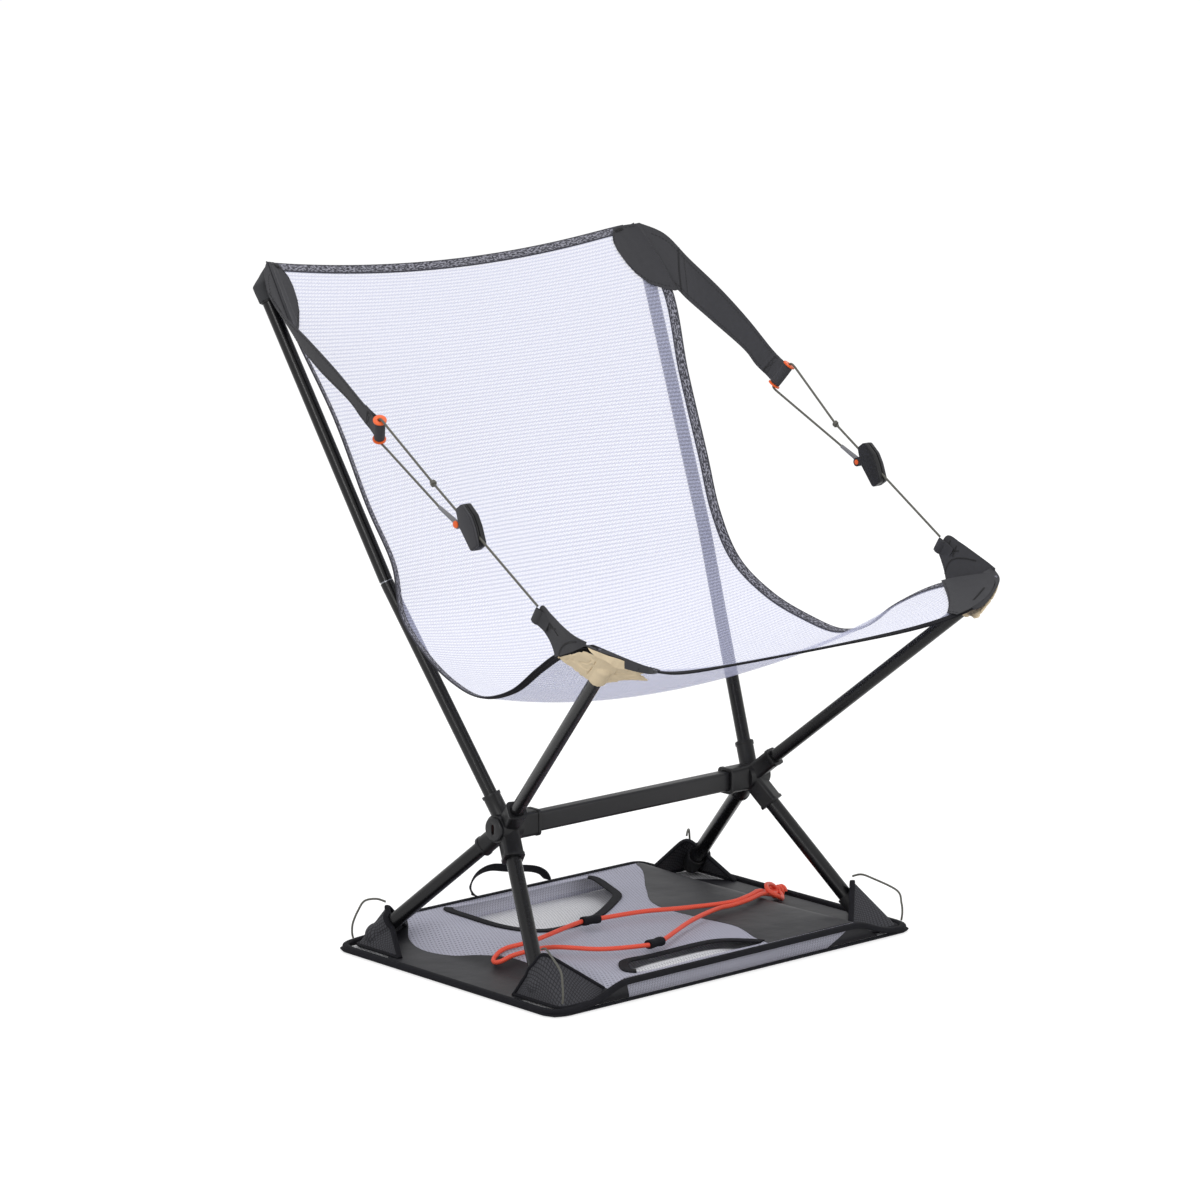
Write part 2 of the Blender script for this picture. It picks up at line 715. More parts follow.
@material("black_webbing")
def black_webbing(tree, shader, uv):
    # Woven polyester webbing with ribs along its length.
    woven(tree, shader, uv, colours().black_tape, 1.6 * MM, 0.3 * MM, 0.7, 2.0, 0.78)


@material("dark_grey_oxford_nylon")
def panel_cloth(tree, shader, uv):
    # Dense nylon with a fine weave: an even dark grey that turns slightly paler
    # where it catches the light.
    woven(tree, shader, uv, colours().panel, 1.1 * MM, 0.06 * MM, 0.9, 1.12, 0.7)
    set_inputs(tree, shader, {"Sheen Weight": 0.03})


@material("grid_ripstop_nylon")
def pocket_cloth(tree, shader, uv):
    # Ripstop with a raised grid of small cells, as on hard-wearing corners.
    turned = add_node(tree, "ShaderNodeMapping", {"Vector": uv, "Rotation": (0, 0, 0.6)})
    cells = add_node(tree, "ShaderNodeTexVoronoi",
                     {"Vector": turned.outputs[0], "Scale": 1 / (2.6 * MM), "Randomness": 0.15},
                     feature="DISTANCE_TO_EDGE").outputs["Distance"]
    line = add_node(tree, "ShaderNodeMapRange",
                    {"Value": cells, "From Min": 0.04, "From Max": 0.2}).outputs[0]
    rgb = colours().pocket
    two_toned(tree, shader, line, shade(rgb, 0.3), shade(rgb, 0.85), line, 0.3 * MM, 0.6,
              Roughness=0.75, Specular_IOR_Level=0.2)


@material("tan_ripstop_nylon", "Object")
def tan_cloth(tree, shader, coords):
    # Light tan nylon of the pole sleeves, soft and creased.
    crease = add_node(tree, "ShaderNodeTexNoise", {"Vector": coords, "Scale": 70.0, "Detail": 4.0,
                                                   "Distortion": 1.2}).outputs["Fac"]
    weave = add_node(tree, "ShaderNodeTexNoise",
                     {"Vector": coords, "Scale": 1400.0, "Detail": 1.0}).outputs["Fac"]
    rgb = colours().tan
    base = add_node(tree, "ShaderNodeMix",
                    {"Factor": crease, 6: shade(rgb, 0.72), 7: shade(rgb, 1.18)},
                    data_type="RGBA").outputs[2]
    two_toned(tree, shader, weave, base, shade(rgb, 1.05), crease, 2 * MM, 0.5,
              Roughness=0.8)


@material("dark_tip_nylon", "Object")
def tip_cloth(tree, shader, coords):
    # Doubled dark nylon of the hoods, seen mostly from behind.
    weave = add_node(tree, "ShaderNodeTexNoise",
                     {"Vector": coords, "Scale": 1100.0, "Detail": 1.0}).outputs["Fac"]
    rgb = linear("#2f3033")
    two_toned(tree, shader, weave, shade(rgb, 0.7), shade(rgb, 1.3), weave, 0.1 * MM, 0.5,
              Roughness=0.8)


def sheet_mesh(tree, shader, uv, rgb, cover):
    """Heavier mesh: darker lines between its courses, and some light through it."""
    pitch = 3.4 * MM
    rows = add_node(tree, "ShaderNodeTexWave", {"Vector": uv, "Scale": bands(pitch)},
                    bands_direction="Y").outputs["Fac"]
    cells = add_node(tree, "ShaderNodeTexBrick",
                     {"Vector": uv, "Scale": 1.0, "Mortar Size": 0.35 * MM, "Mortar Smooth": 0.4,
                      "Brick Width": pitch, "Row Height": pitch}, offset=0.5).outputs["Fac"]
    both = add_node(tree, "ShaderNodeMath", {0: rows, 1: 0.75, 2: cells},
                    operation="MULTIPLY_ADD").outputs[0]
    share = add_node(tree, "ShaderNodeMapRange", {"Value": both, "From Max": 1.3}).outputs[0]
    two_toned(tree, shader, share, shade(rgb, 1.35), shade(rgb, 0.38), rows, 0.3 * MM, 0.4,
              Roughness=0.75, Alpha=cover, Specular_IOR_Level=0.2)


@material("ground_sheet_mesh")
def sheet_mesh_cloth(tree, shader, uv):
    # Mesh of the top layer and walls: pale grey, with light through its holes.
    sheet_mesh(tree, shader, uv, colours().sheet_mesh, 0.82)


@material("pale_base_mesh")
def base_mesh_cloth(tree, shader, uv):
    # Paler, closed mesh of the layer on the ground.
    sheet_mesh(tree, shader, uv, colours().base_mesh, 1.0)


@material("coated_polyester")
def sheet_panel_cloth(tree, shader, uv):
    # Polyester with a smooth coating: dark grey with soft, wide highlights and
    # faint ripples.
    ripples = add_node(tree, "ShaderNodeTexNoise",
                       {"Vector": uv, "Scale": 22.0, "Detail": 3.0}).outputs["Fac"]
    grain = add_node(tree, "ShaderNodeTexNoise",
                     {"Vector": uv, "Scale": 900.0, "Detail": 1.0}).outputs["Fac"]
    rgb = colours().sheet_panel
    rough = add_node(tree, "ShaderNodeMapRange",
                     {"Value": ripples, "To Min": 0.42, "To Max": 0.6}).outputs[0]
    two_toned(tree, shader, grain, shade(rgb, 0.85), shade(rgb, 1.15), ripples, 3 * MM, 0.5,
              Roughness=rough, Specular_IOR_Level=0.25)


def braided(tree, shader, uv, rgb, pitch, dark, roughness):
    """Braid on a cord's UV map: two sets of strands that cross."""
    strands = []
    for turn in (0.9, -0.9):
        tilted = add_node(tree, "ShaderNodeMapping", {"Vector": uv, "Rotation": (0, 0, turn)})
        strands.append(add_node(tree, "ShaderNodeTexWave",
                                {"Vector": tilted.outputs[0], "Scale": bands(pitch)},
                                bands_direction="X").outputs["Fac"])
    both = add_node(tree, "ShaderNodeMath", {0: strands[0], 1: strands[1]},
                    operation="MULTIPLY").outputs[0]
    two_toned(tree, shader, both, shade(rgb, dark), shade(rgb, 1.15), both, 0.2 * MM, 0.6,
              Roughness=roughness)


@material("braided_polyester_cord")
def cord_braid(tree, shader, uv):
    # Thin grey-brown braid of the recline cords and stake loops.
    braided(tree, shader, uv, colours().cord, 1.0 * MM, 0.55, 0.7)


@material("braided_elastic_cord")
def elastic_braid(tree, shader, uv):
    # Orange-red elastic: rubber core under a smooth braid.
    braided(tree, shader, uv, colours().elastic, 1.6 * MM, 0.8, 0.55)


@material("sewing_thread", "Object")
def sewing_thread(tree, shader, coords):
    # Black polyester thread, twisted, nearly matt.
    twist = add_node(tree, "ShaderNodeTexNoise", {"Vector": coords, "Scale": 2500.0})
    tone = add_node(tree, "ShaderNodeMix",
                    {"Factor": twist.outputs["Fac"], 6: linear("#09090b"),
                     7: linear("#1b1b1e")}, data_type="RGBA").outputs[2]
    set_inputs(tree, shader, {"Base Color": tone, "Roughness": 0.7})


def moulded(tree, shader, coords, rgb, roughness, grain=1500.0, wear=1.6):
    """Moulded plastic with a fine spark-eroded grain and paler rubbed places."""
    spark = add_node(tree, "ShaderNodeTexNoise",
                     {"Vector": coords, "Scale": grain, "Detail": 2.0}).outputs["Fac"]
    cloud = add_node(tree, "ShaderNodeTexNoise",
                     {"Vector": coords, "Scale": 45.0, "Detail": 3.0}).outputs["Fac"]
    edge = add_node(tree, "ShaderNodeNewGeometry").outputs["Pointiness"]
    rub = add_node(tree, "ShaderNodeMapRange",
                   {"Value": edge, "From Min": 0.52, "From Max": 0.62, "To Max": 0.6}).outputs[0]
    tone = add_node(tree, "ShaderNodeMix",
                    {"Factor": cloud, 6: shade(rgb, 0.88), 7: shade(rgb, 1.12)},
                    data_type="RGBA").outputs[2]
    rough = add_node(tree, "ShaderNodeMapRange",
                     {"Value": cloud, "To Min": roughness - 0.06,
                      "To Max": roughness + 0.08}).outputs[0]
    two_toned(tree, shader, rub, tone, shade(rgb, wear), spark, 0.05 * MM, 0.35,
              Roughness=rough, Specular_IOR_Level=0.3)


@material("glass_filled_nylon", "Object")
def hub_nylon(tree, shader, coords):
    # Injection-moulded glass-filled nylon: black, satin, finely grained.
    moulded(tree, shader, coords, colours().nylon, 0.42)


@material("nylon_cap", "Object")
def cap_nylon(tree, shader, coords):
    # Smoother moulded cap, a little paler than the hub.
    moulded(tree, shader, coords, shade(colours().nylon, 1.5), 0.4)


@material("soft_grey_polymer", "Object")
def pod_polymer(tree, shader, coords):
    # Soft-touch moulding of the adjusters' covers.
    moulded(tree, shader, coords, linear("#343438"), 0.5)


@material("grey_heat_shrink", "Object")
def sleeve_polymer(tree, shader, coords):
    # Shrunk grey sleeve over the cord's end.
    moulded(tree, shader, coords, linear("#77777b"), 0.5, grain=2500.0)


@material("orange_acetal", "Object")
def orange_acetal(tree, shader, coords):
    # Turned acetal: bright orange, slippery and slightly glossy.
    moulded(tree, shader, coords, colours().orange, 0.32, wear=1.15)


@material("foot_rubber", "Object")
def foot_rubber(tree, shader, coords):
    # Matt rubber of the ball feet, dusted where it meets the ground.
    moulded(tree, shader, coords, linear("#161618"), 0.62, grain=800.0)


def anodised(tree, shader, coords, rgb, roughness, metallic):
    """Drawn and anodised tube: faint die lines and a soft gloss."""
    cloud = add_node(tree, "ShaderNodeTexNoise",
                     {"Vector": coords, "Scale": 60.0, "Detail": 4.0}).outputs["Fac"]
    fine = add_node(tree, "ShaderNodeTexNoise",
                    {"Vector": coords, "Scale": 1800.0, "Detail": 1.0}).outputs["Fac"]
    rough = add_node(tree, "ShaderNodeMapRange",
                     {"Value": cloud, "To Min": roughness - 0.05,
                      "To Max": roughness + 0.07}).outputs[0]
    two_toned(tree, shader, cloud, shade(rgb, 0.8), shade(rgb, 1.2), fine, 0.03 * MM, 0.3,
              Metallic=metallic, Roughness=rough, Specular_IOR_Level=0.3)


@material("black_anodised_aluminium", "Object")
def tube_anodised(tree, shader, coords):
    # Hard black anodising: dark, with narrow bright lines along the tube.
    anodised(tree, shader, coords, colours().tube, 0.26, 0.0)


@material("grey_anodised_aluminium", "Object")
def bar_anodised(tree, shader, coords):
    # Matt dark grey anodising of the crossbar.
    anodised(tree, shader, coords, colours().bar, 0.42, 0.0)


@material("satin_aluminium", "Object")
def satin_aluminium(tree, shader, coords):
    # Bare satin spigots inside the poles.
    anodised(tree, shader, coords, linear("#8b8d92"), 0.35, 1.0)


# ---- Operators ----

class CHAIR_OT_stage(bpy.types.Operator):
    """Camera, lamps, white surround and floor"""

    bl_idname = "chair.stage"
    bl_label = "Stage"

    def execute(self, context):
        scene = bpy.context.scene
        scene.view_settings.view_transform = "Standard"
        # The camera looks from the front left, a little above the sling
        turn, rise, roll = (math.radians(a) for a in (-41.77, 11.28, 0.06))
        back = np.array([math.sin(turn) * math.cos(rise), -math.cos(turn) * math.cos(rise),
                         math.sin(rise)])
        target = at(-39.96, 0, 334.29)
        place = target + back * 4.44082
        lens = bpy.data.cameras.new("camera")
        lens.sensor_width = 36
        lens.lens = 143.1291
        lens.clip_end = 60
        camera = bpy.data.objects.new("camera", lens)
        scene.collection.objects.link(camera)
        camera.location = place
        aim = Vector(-back).to_track_quat("-Z", "Y").to_matrix()
        camera.rotation_euler = (aim @ aim.Rotation(roll, 3, "Z")).to_euler()
        scene.camera = camera

        self.floor()
        self.surround(scene)
        # Strip softboxes at both sides, whose reflections run along the tubes, and a
        # large one overhead
        for name, spot, wide, tall, power in (
                ("key_strip", (-2.9, -1.5, 1.7), 0.45, 2.2, 34),
                ("fill_strip", (1.2, -3.2, 1.5), 0.35, 2.0, 16),
                ("top_softbox", (0.2, 0.2, 3.4), 2.4, 2.4, 26)):
            data = bpy.data.lights.new(name, "AREA")
            data.shape = "RECTANGLE"
            data.size = wide
            data.size_y = tall
            data.energy = power
            lamp = bpy.data.objects.new(name, data)
            scene.collection.objects.link(lamp)
            lamp.location = spot
            lamp.rotation_euler = (Vector((0, 0, 0.3)) - Vector(spot)).to_track_quat(
                "-Z", "Y").to_euler()
        return {"FINISHED"}

    def camera_rays(self, tree):
        """1 for rays that show the surround: camera, glossy and transmission."""
        path = add_node(tree, "ShaderNodeLightPath")
        first = add_node(tree, "ShaderNodeMath", {0: path.outputs["Is Camera Ray"],
                                                  1: path.outputs["Is Glossy Ray"]},
                         operation="MAXIMUM").outputs[0]
        return add_node(tree, "ShaderNodeMath",
                        {0: first, 1: path.outputs["Is Transmission Ray"]},
                        operation="MAXIMUM").outputs[0]

    def floor(self):
        """Pale matt floor that shows as white and keeps the chair's shadow."""
        bpy.ops.mesh.primitive_plane_add(size=60, location=(0, 0, -0.0006))
        floor = bpy.context.object
        floor.name = "floor"
        surface = bpy.data.materials.new("studio_floor")
        surface.use_nodes = True
        tree = surface.node_tree
        tree.nodes.clear()
        paint = add_node(tree, "ShaderNodeBsdfDiffuse", {"Color": (0.5, 0.5, 0.5)})
        glow = add_node(tree, "ShaderNodeEmission", {"Color": (1, 1, 1), "Strength": 0.66})
        dark = add_node(tree, "ShaderNodeEmission", {"Strength": 0.0})
        lit = add_node(tree, "ShaderNodeMixShader",
                       {0: self.camera_rays(tree), 1: dark.outputs[0], 2: glow.outputs[0]})
        total = add_node(tree, "ShaderNodeAddShader", {0: paint.outputs[0], 1: lit.outputs[0]})
        add_node(tree, "ShaderNodeOutputMaterial", {"Surface": total.outputs[0]})
        floor.data.materials.append(surface)

    def surround(self, scene):
        """World that lights the chair softly and shows as white."""
        world = bpy.data.worlds.new("surround")
        scene.world = world
        world.use_nodes = True
        tree = world.node_tree
        tree.nodes.clear()
        light = add_node(tree, "ShaderNodeBackground", {"Color": (1, 1, 1), "Strength": 0.72})
        seen = add_node(tree, "ShaderNodeBackground", {"Color": (1, 1, 1), "Strength": 1.0})
        mixed = add_node(tree, "ShaderNodeMixShader",
                         {0: self.camera_rays(tree), 1: light.outputs[0], 2: seen.outputs[0]})
        add_node(tree, "ShaderNodeOutputWorld", {"Surface": mixed.outputs[0]})


class CHAIR_OT_recline_cords(bpy.types.Operator):
    """Running leg, tackle leg and stop bead of each recline cord"""

    bl_idname = "chair.recline_cords"
    bl_label = "Recline cords"
    bl_options = {"REGISTER", "UNDO"}

    def execute(self, context):
        radius = sizes().cord / 2
        far = CORD_LEN / MM - 2
        for side, name in ((-1, "left"), (1, "right")):
            top = smooth_path([in_bush_frame(*p) for p in (
                (0, 1.4, 0), (0, BUSH_HALF - 3, 0), (0, BUSH_HALF + 0.9, 0.4),
                (0, BUSH_HALF + 2.0, 4), (0, BUSH_HALF + 1.2, 12))], 24)
            run = np.array([in_bush_frame(0, BUSH_HALF + 1.2, 12),
                            in_cord_frame(0, run_y(BEAD_AT), BEAD_AT),
                            in_cord_frame(0, run_y(far), far)])
            path = np.vstack([top, resample(run, 3 * MM)[1:]])
            cord = sweep(f"recline_cord_{name}_braid", path, carried_normals(path),
                         round_section(radius), side=side)
            finish_piece(cord, cord_braid(), slot="cord", replaces=f"recline_cord_{name}")
            self.bead(name, side)
            self.tackle(name, side, radius)
        return {"FINISHED"}

    def bead(self, name, side):
        """Overhand knot that stops the bush: two tight turns of the cord."""
        turn = np.linspace(0, 4 * math.pi, 60)
        knot = [in_cord_frame(2.0 * math.cos(a), run_y(BEAD_AT) + 2.0 * math.sin(a),
                              BEAD_AT - 1.6 + 3.2 * a / (4 * math.pi)) for a in turn]
        piece = sweep(f"stop_knot_{name}", knot, carried_normals(np.array(knot)),
                      round_section(1.15 * MM, 8), side=side)
        finish_piece(piece, cord_braid(), slot="cord")

    def tackle(self, name, side, radius):
        """Leg from the bush's lower eye to the adjuster's pin, which stretches with it."""
        top = smooth_path([in_bush_frame(*p) for p in (
            (0, -1.4, 0), (0, 3 - BUSH_HALF, 0), (0, -BUSH_HALF - 0.9, 0.4),
            (0, -BUSH_HALF - 2.0, 4), (0, -BUSH_HALF - 1.5, 12))], 24)
        end = in_cord_frame(0, -8.2, 103)
        start = in_bush_frame(0, -BUSH_HALF - 1.5, 12)
        last = end + unit(end - start) * 1.5 * MM
        path = np.vstack([top, resample(np.array([start, last]), 3 * MM)[1:]])
        cord = sweep(f"tackle_cord_{name}_braid", path, carried_normals(path),
                     round_section(radius), side=side)
        finish_piece(cord, cord_braid(), body=None, slot="cord",
                     replaces=f"tackle_cord_{name}")
        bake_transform(cord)


# Bungee: its height over the ground and the places of its two keepers
BUNGEE_Z = 27.1
KEEPER_REAR = (-48, 4)
KEEPER_FRONT = (-57, -96)


class CHAIR_OT_bungee(bpy.types.Operator):
    """Bungee laced over the ground sheet, its knot and its two keepers"""

    bl_idname = "chair.bungee"
    bl_label = "Bungee"
    bl_options = {"REGISTER", "UNDO"}

    def execute(self, context):
        z, r = BUNGEE_Z, sizes().bungee / 2
        path = smooth_path([at(*p) for p in (
            (195, 3, 11.5), (172, -12, 17), (148, -24, 23.6), (122, -33, z - 3), (97, -37, z - 3),
            (74, -40, z - 2), (21, -61, z), (-45, -94, z), (-57, -96, z), (-69, -97, z),
            (-109, -79, z), (-139, -44, z), (-157, -16, 18), (-168, -6, 11), (-170, 1, 9.4),
            (-165, 6, 12), (-152, 6, 18), (-130, -10, z - 2), (-60, 5, z), (-36, 2, z),
            (10, -6, z), (50, -19, z - 1), (97, -31.5, z - 1.5), (126, -28, z - 1),
            (150, -18, z - 2), (176, -4, 16.5), (195, 6, 11.6))], 320)
        self.cord("bungee_lace", path, r, "bungee")
        for index, bow in enumerate((
                ((198, 4, 12), (190, -9, 11.6), (180, -19, 12.2), (167, -28, 18.5),
                 (160, -22, 24), (167, -11, 27), (182, -2, 23), (193, 4, 17), (198, 7, 13)),
                ((198, 8, 12), (190, 12, 12), (180, 12, 13), (170, 6, 16.5), (164, -1, 18.5),
                 (170, -4, 18), (184, 2, 14.5), (197, 6, 13)))):
            self.cord(f"bungee_bow_{index + 1}", smooth_path([at(*p) for p in bow], 60), r)
        turns = np.linspace(0, 7 * math.pi, 150)
        centre = at(200, 7, 11.2)
        coil = np.array([centre + np.array([
            -8 + 14 * a / (7 * math.pi), 4.4 * math.cos(a), 4.4 * math.sin(a)]) * MM
            for a in turns])
        self.cord("bungee_knot", coil, r * 0.92, start=(0, 1, 0))
        tail = [at(*p) for p in ((203, 8, 11), (209, 12, 11), (213, 19, 8.5), (214, 25, 6.5))]
        self.cord("bungee_tail", smooth_path(tail, 16), r * 0.95)
        tip = sweep("bungee_tail_end", resample(np.array([tail[-1], at(214, 32, 6)]), 1 * MM),
                    np.array([0, 0, 1.0]), round_section(r * 1.15))
        finish_piece(tip, hub_nylon(), slot="webbing")
        self.keepers(r)
        return {"FINISHED"}

    def cord(self, name, path, radius, replaces=(), start=(0, 0, 1)):
        piece = sweep(name, path, carried_normals(path, start), round_section(radius))
        finish_piece(piece, elastic_braid(), slot="elastic", replaces=replaces)

    def keepers(self, r):
        """Webbing sleeves where the bungee's legs cross."""
        for index, (place, turn) in enumerate(((KEEPER_REAR, -6), (KEEPER_FRONT, 5))):
            way = np.array([math.cos(math.radians(turn)), math.sin(math.radians(turn)), 0])
            middle = at(*place, BUNGEE_Z)
            path = middle + np.linspace(-9.5, 9.5, 14)[:, None] * MM * way
            swell = 1 + 0.06 * np.sin(np.linspace(0, 3 * math.pi, 14))
            sleeve = sweep(f"bungee_keeper_{index + 1}", path, np.array([0, 0, 1.0]),
                           tape_section(2 * r + 5.2 * MM, 2 * r + 3.6 * MM, power=0.8),
                           scale=swell)
            finish_piece(sleeve, black_webbing(), slot="webbing",
                         replaces="bungee_keepers" if index == 0 else ())


class CHAIR_OT_frame(bpy.types.Operator):
    """Finishes of the tubes, crossbar, hubs, tips and feet"""

    bl_idname = "chair.frame"
    bl_label = "Frame"
    bl_options = {"REGISTER", "UNDO"}

    def execute(self, context):
        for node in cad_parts:
            if node.startswith(("back_pole_lower", "back_pole_upper", "seat_pole_left",
                                "seat_pole_right", "rear_leg", "front_leg")):
                self.refinish(node, tube_anodised())
        self.refinish("pole_ferrules", satin_aluminium())
        for node, width, finish, slot in (
                ("crossbar", 0.25 * MM, bar_anodised(), "bar"),
                ("hub_left", 0.7 * MM, hub_nylon(), "hub"),
                ("hub_right", 0.7 * MM, hub_nylon(), "hub"),
                ("hub_caps", 0.4 * MM, cap_nylon(), "cap"),
                ("back_pole_tips", 0.6 * MM, hub_nylon(), "tip"),
                ("seat_pole_tips", 0.6 * MM, hub_nylon(), "tip"),
                ("feet", 0.5 * MM, foot_rubber(), "foot")):
            piece = bevelled_copy(node, width)
            finish_piece(piece, finish, slot=slot, replaces=node, angle=32)
        self.shock_cords()
        return {"FINISHED"}

    def refinish(self, node, finish):
        """Puts a finish on a solid that stays as it is."""
        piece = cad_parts[node]
        for place in piece.material_slots:
            place.material = finish

    def shock_cords(self):
        """One elastic through the tubes, with a bight under each cap's window."""
        r = 1.5 * MM
        number = 0
        for side in (-1, 1):
            for end, stop in ((SEAT_TIP, 8), (REAR_FOOT, 8), (FRONT_FOOT, 8), (BACK_JOINT, 0)):
                way = unit(end - HUB)
                path = resample(np.array([HUB + way * 7 * MM, end - way * stop * MM]), 12 * MM)
                number += 1
                cord = sweep(f"shock_cord_{number}", path, carried_normals(path),
                             round_section(r, 8), side=side)
                finish_piece(cord, elastic_braid(), slot="elastic",
                             replaces="shock_cords" if number == 1 else ())
            turn = np.linspace(-0.3 * math.pi, 1.3 * math.pi, 24)
            bight = np.array([HUB + np.array([11.4 + 1.8 * math.sin(a), 0, 3.8 * math.cos(a)])
                              * MM for a in turn])
            number += 1
            loop = sweep(f"shock_cord_{number}", bight, carried_normals(bight, (0, 1, 0)),
                         round_section(r, 8), side=side)
            finish_piece(loop, elastic_braid(), slot="elastic")


class CHAIR_OT_sling(bpy.types.Operator):
    """The see-through mesh and its bound edges"""

    bl_idname = "chair.sling"
    bl_label = "Sling"
    bl_options = {"REGISTER", "UNDO"}

    def execute(self, context):
        size = sizes()
        t = np.sin(np.linspace(-1, 1, 85) * 1.45) / math.sin(1.45) * (MESH_SHARE + 0.012)
        grid = sling(np.linspace(0.004, 0.996, 131)[:, None], t[None])
        mesh = cloth("sling_cloth", grid, size.mesh_thickness)
        finish_piece(mesh, sling_mesh_cloth(), slot="mesh", replaces="sling_mesh")
        trims = []
        u = np.linspace(0, 1, 151)
        middle = 1 - (1 - MESH_SHARE - 0.003) / 2
        strip = sling(u[:, None], np.array([middle - 0.01, middle, middle + 0.01])[None])
        normals = grid_normals(strip)[:, 1]
        for side, name in ((-1, "left"), (1, "right")):
            section = folded_tape(size.tape_width, size.tape_thickness)
            section[:, 0] *= -1
            tape = sweep(f"side_tape_{name}", strip[:, 1], normals, section,
                         across=-tape_across(section), side=side)
            finish_piece(tape, heather_tape(), black_tape(), slot="heather_binding",
                         replaces="sling_side_bindings" if side < 0 else ())
            # Plain black on the outside of the chair
            turned = section[:, 1] + np.roll(section[:, 1], -1) < -0.3 * MM
            for face in tape.data.polygons:
                if len(face.vertices) == 4 and turned[face.index % len(section)]:
                    face.material_index = 1
            rows = []
            for offset in (-1.2 * MM, 2.6 * MM):
                line = strip[:, 1] + unit(strip[:, 2] - strip[:, 0]) * -offset
                for face in (1, -1):
                    rows += running_stitch(line + normals * face * 0.9 * MM)
            seam = thread_piece(f"side_tape_stitches_{name}", rows, side)
            trims += [tape, seam]
        trims += self.cross_tapes(size)
        return {"FINISHED"}

    def cross_tapes(self, size):
        """Tapes of the top and front edges, each with its stitches."""
        made = []
        t = np.linspace(-MESH_SHARE, MESH_SHARE, 90)
        for name, u, width, finish, slot in (
                ("top", 0.0058, 9.6 * MM, heather_tape(), "heather_binding"),
                ("front", 0.9945, 8.2 * MM, black_tape(), "black_binding")):
            strip = sling(np.array([u - 0.004, u, u + 0.004])[:, None], t[None])
            normals = grid_normals(strip)[1]
            section = folded_tape(width, size.tape_thickness)
            section[:, 0] *= -1 if name == "top" else 1
            across = tape_across(section) * (-1 if name == "top" else 1)
            tape = sweep(f"{name}_tape", strip[1], normals, section, across=across)
            finish_piece(tape, finish, slot=slot, replaces=f"sling_{name}_binding")
            rows = []
            outward = unit(strip[0] - strip[2]) * (1 if name == "top" else -1)
            for face in (1, -1):
                rows += running_stitch(strip[1] - outward * 2.6 * MM
                                       + normals * face * 0.8 * MM)
            made += [tape, thread_piece(f"{name}_tape_stitches", rows)]
        return made


# Upper and lower edge of the wing: share across the sling, share down it
WING_TOP = [(0.868, 0.034), (0.875, 0.022), (0.9, 0.008), (0.913, 0.0), (1, 0.0)]
WING_BASE = [(0.868, 0.036), (0.872, 0.05), (0.888, 0.063), (0.925, 0.077), (0.972, 0.085),
             (1, 0.088)]


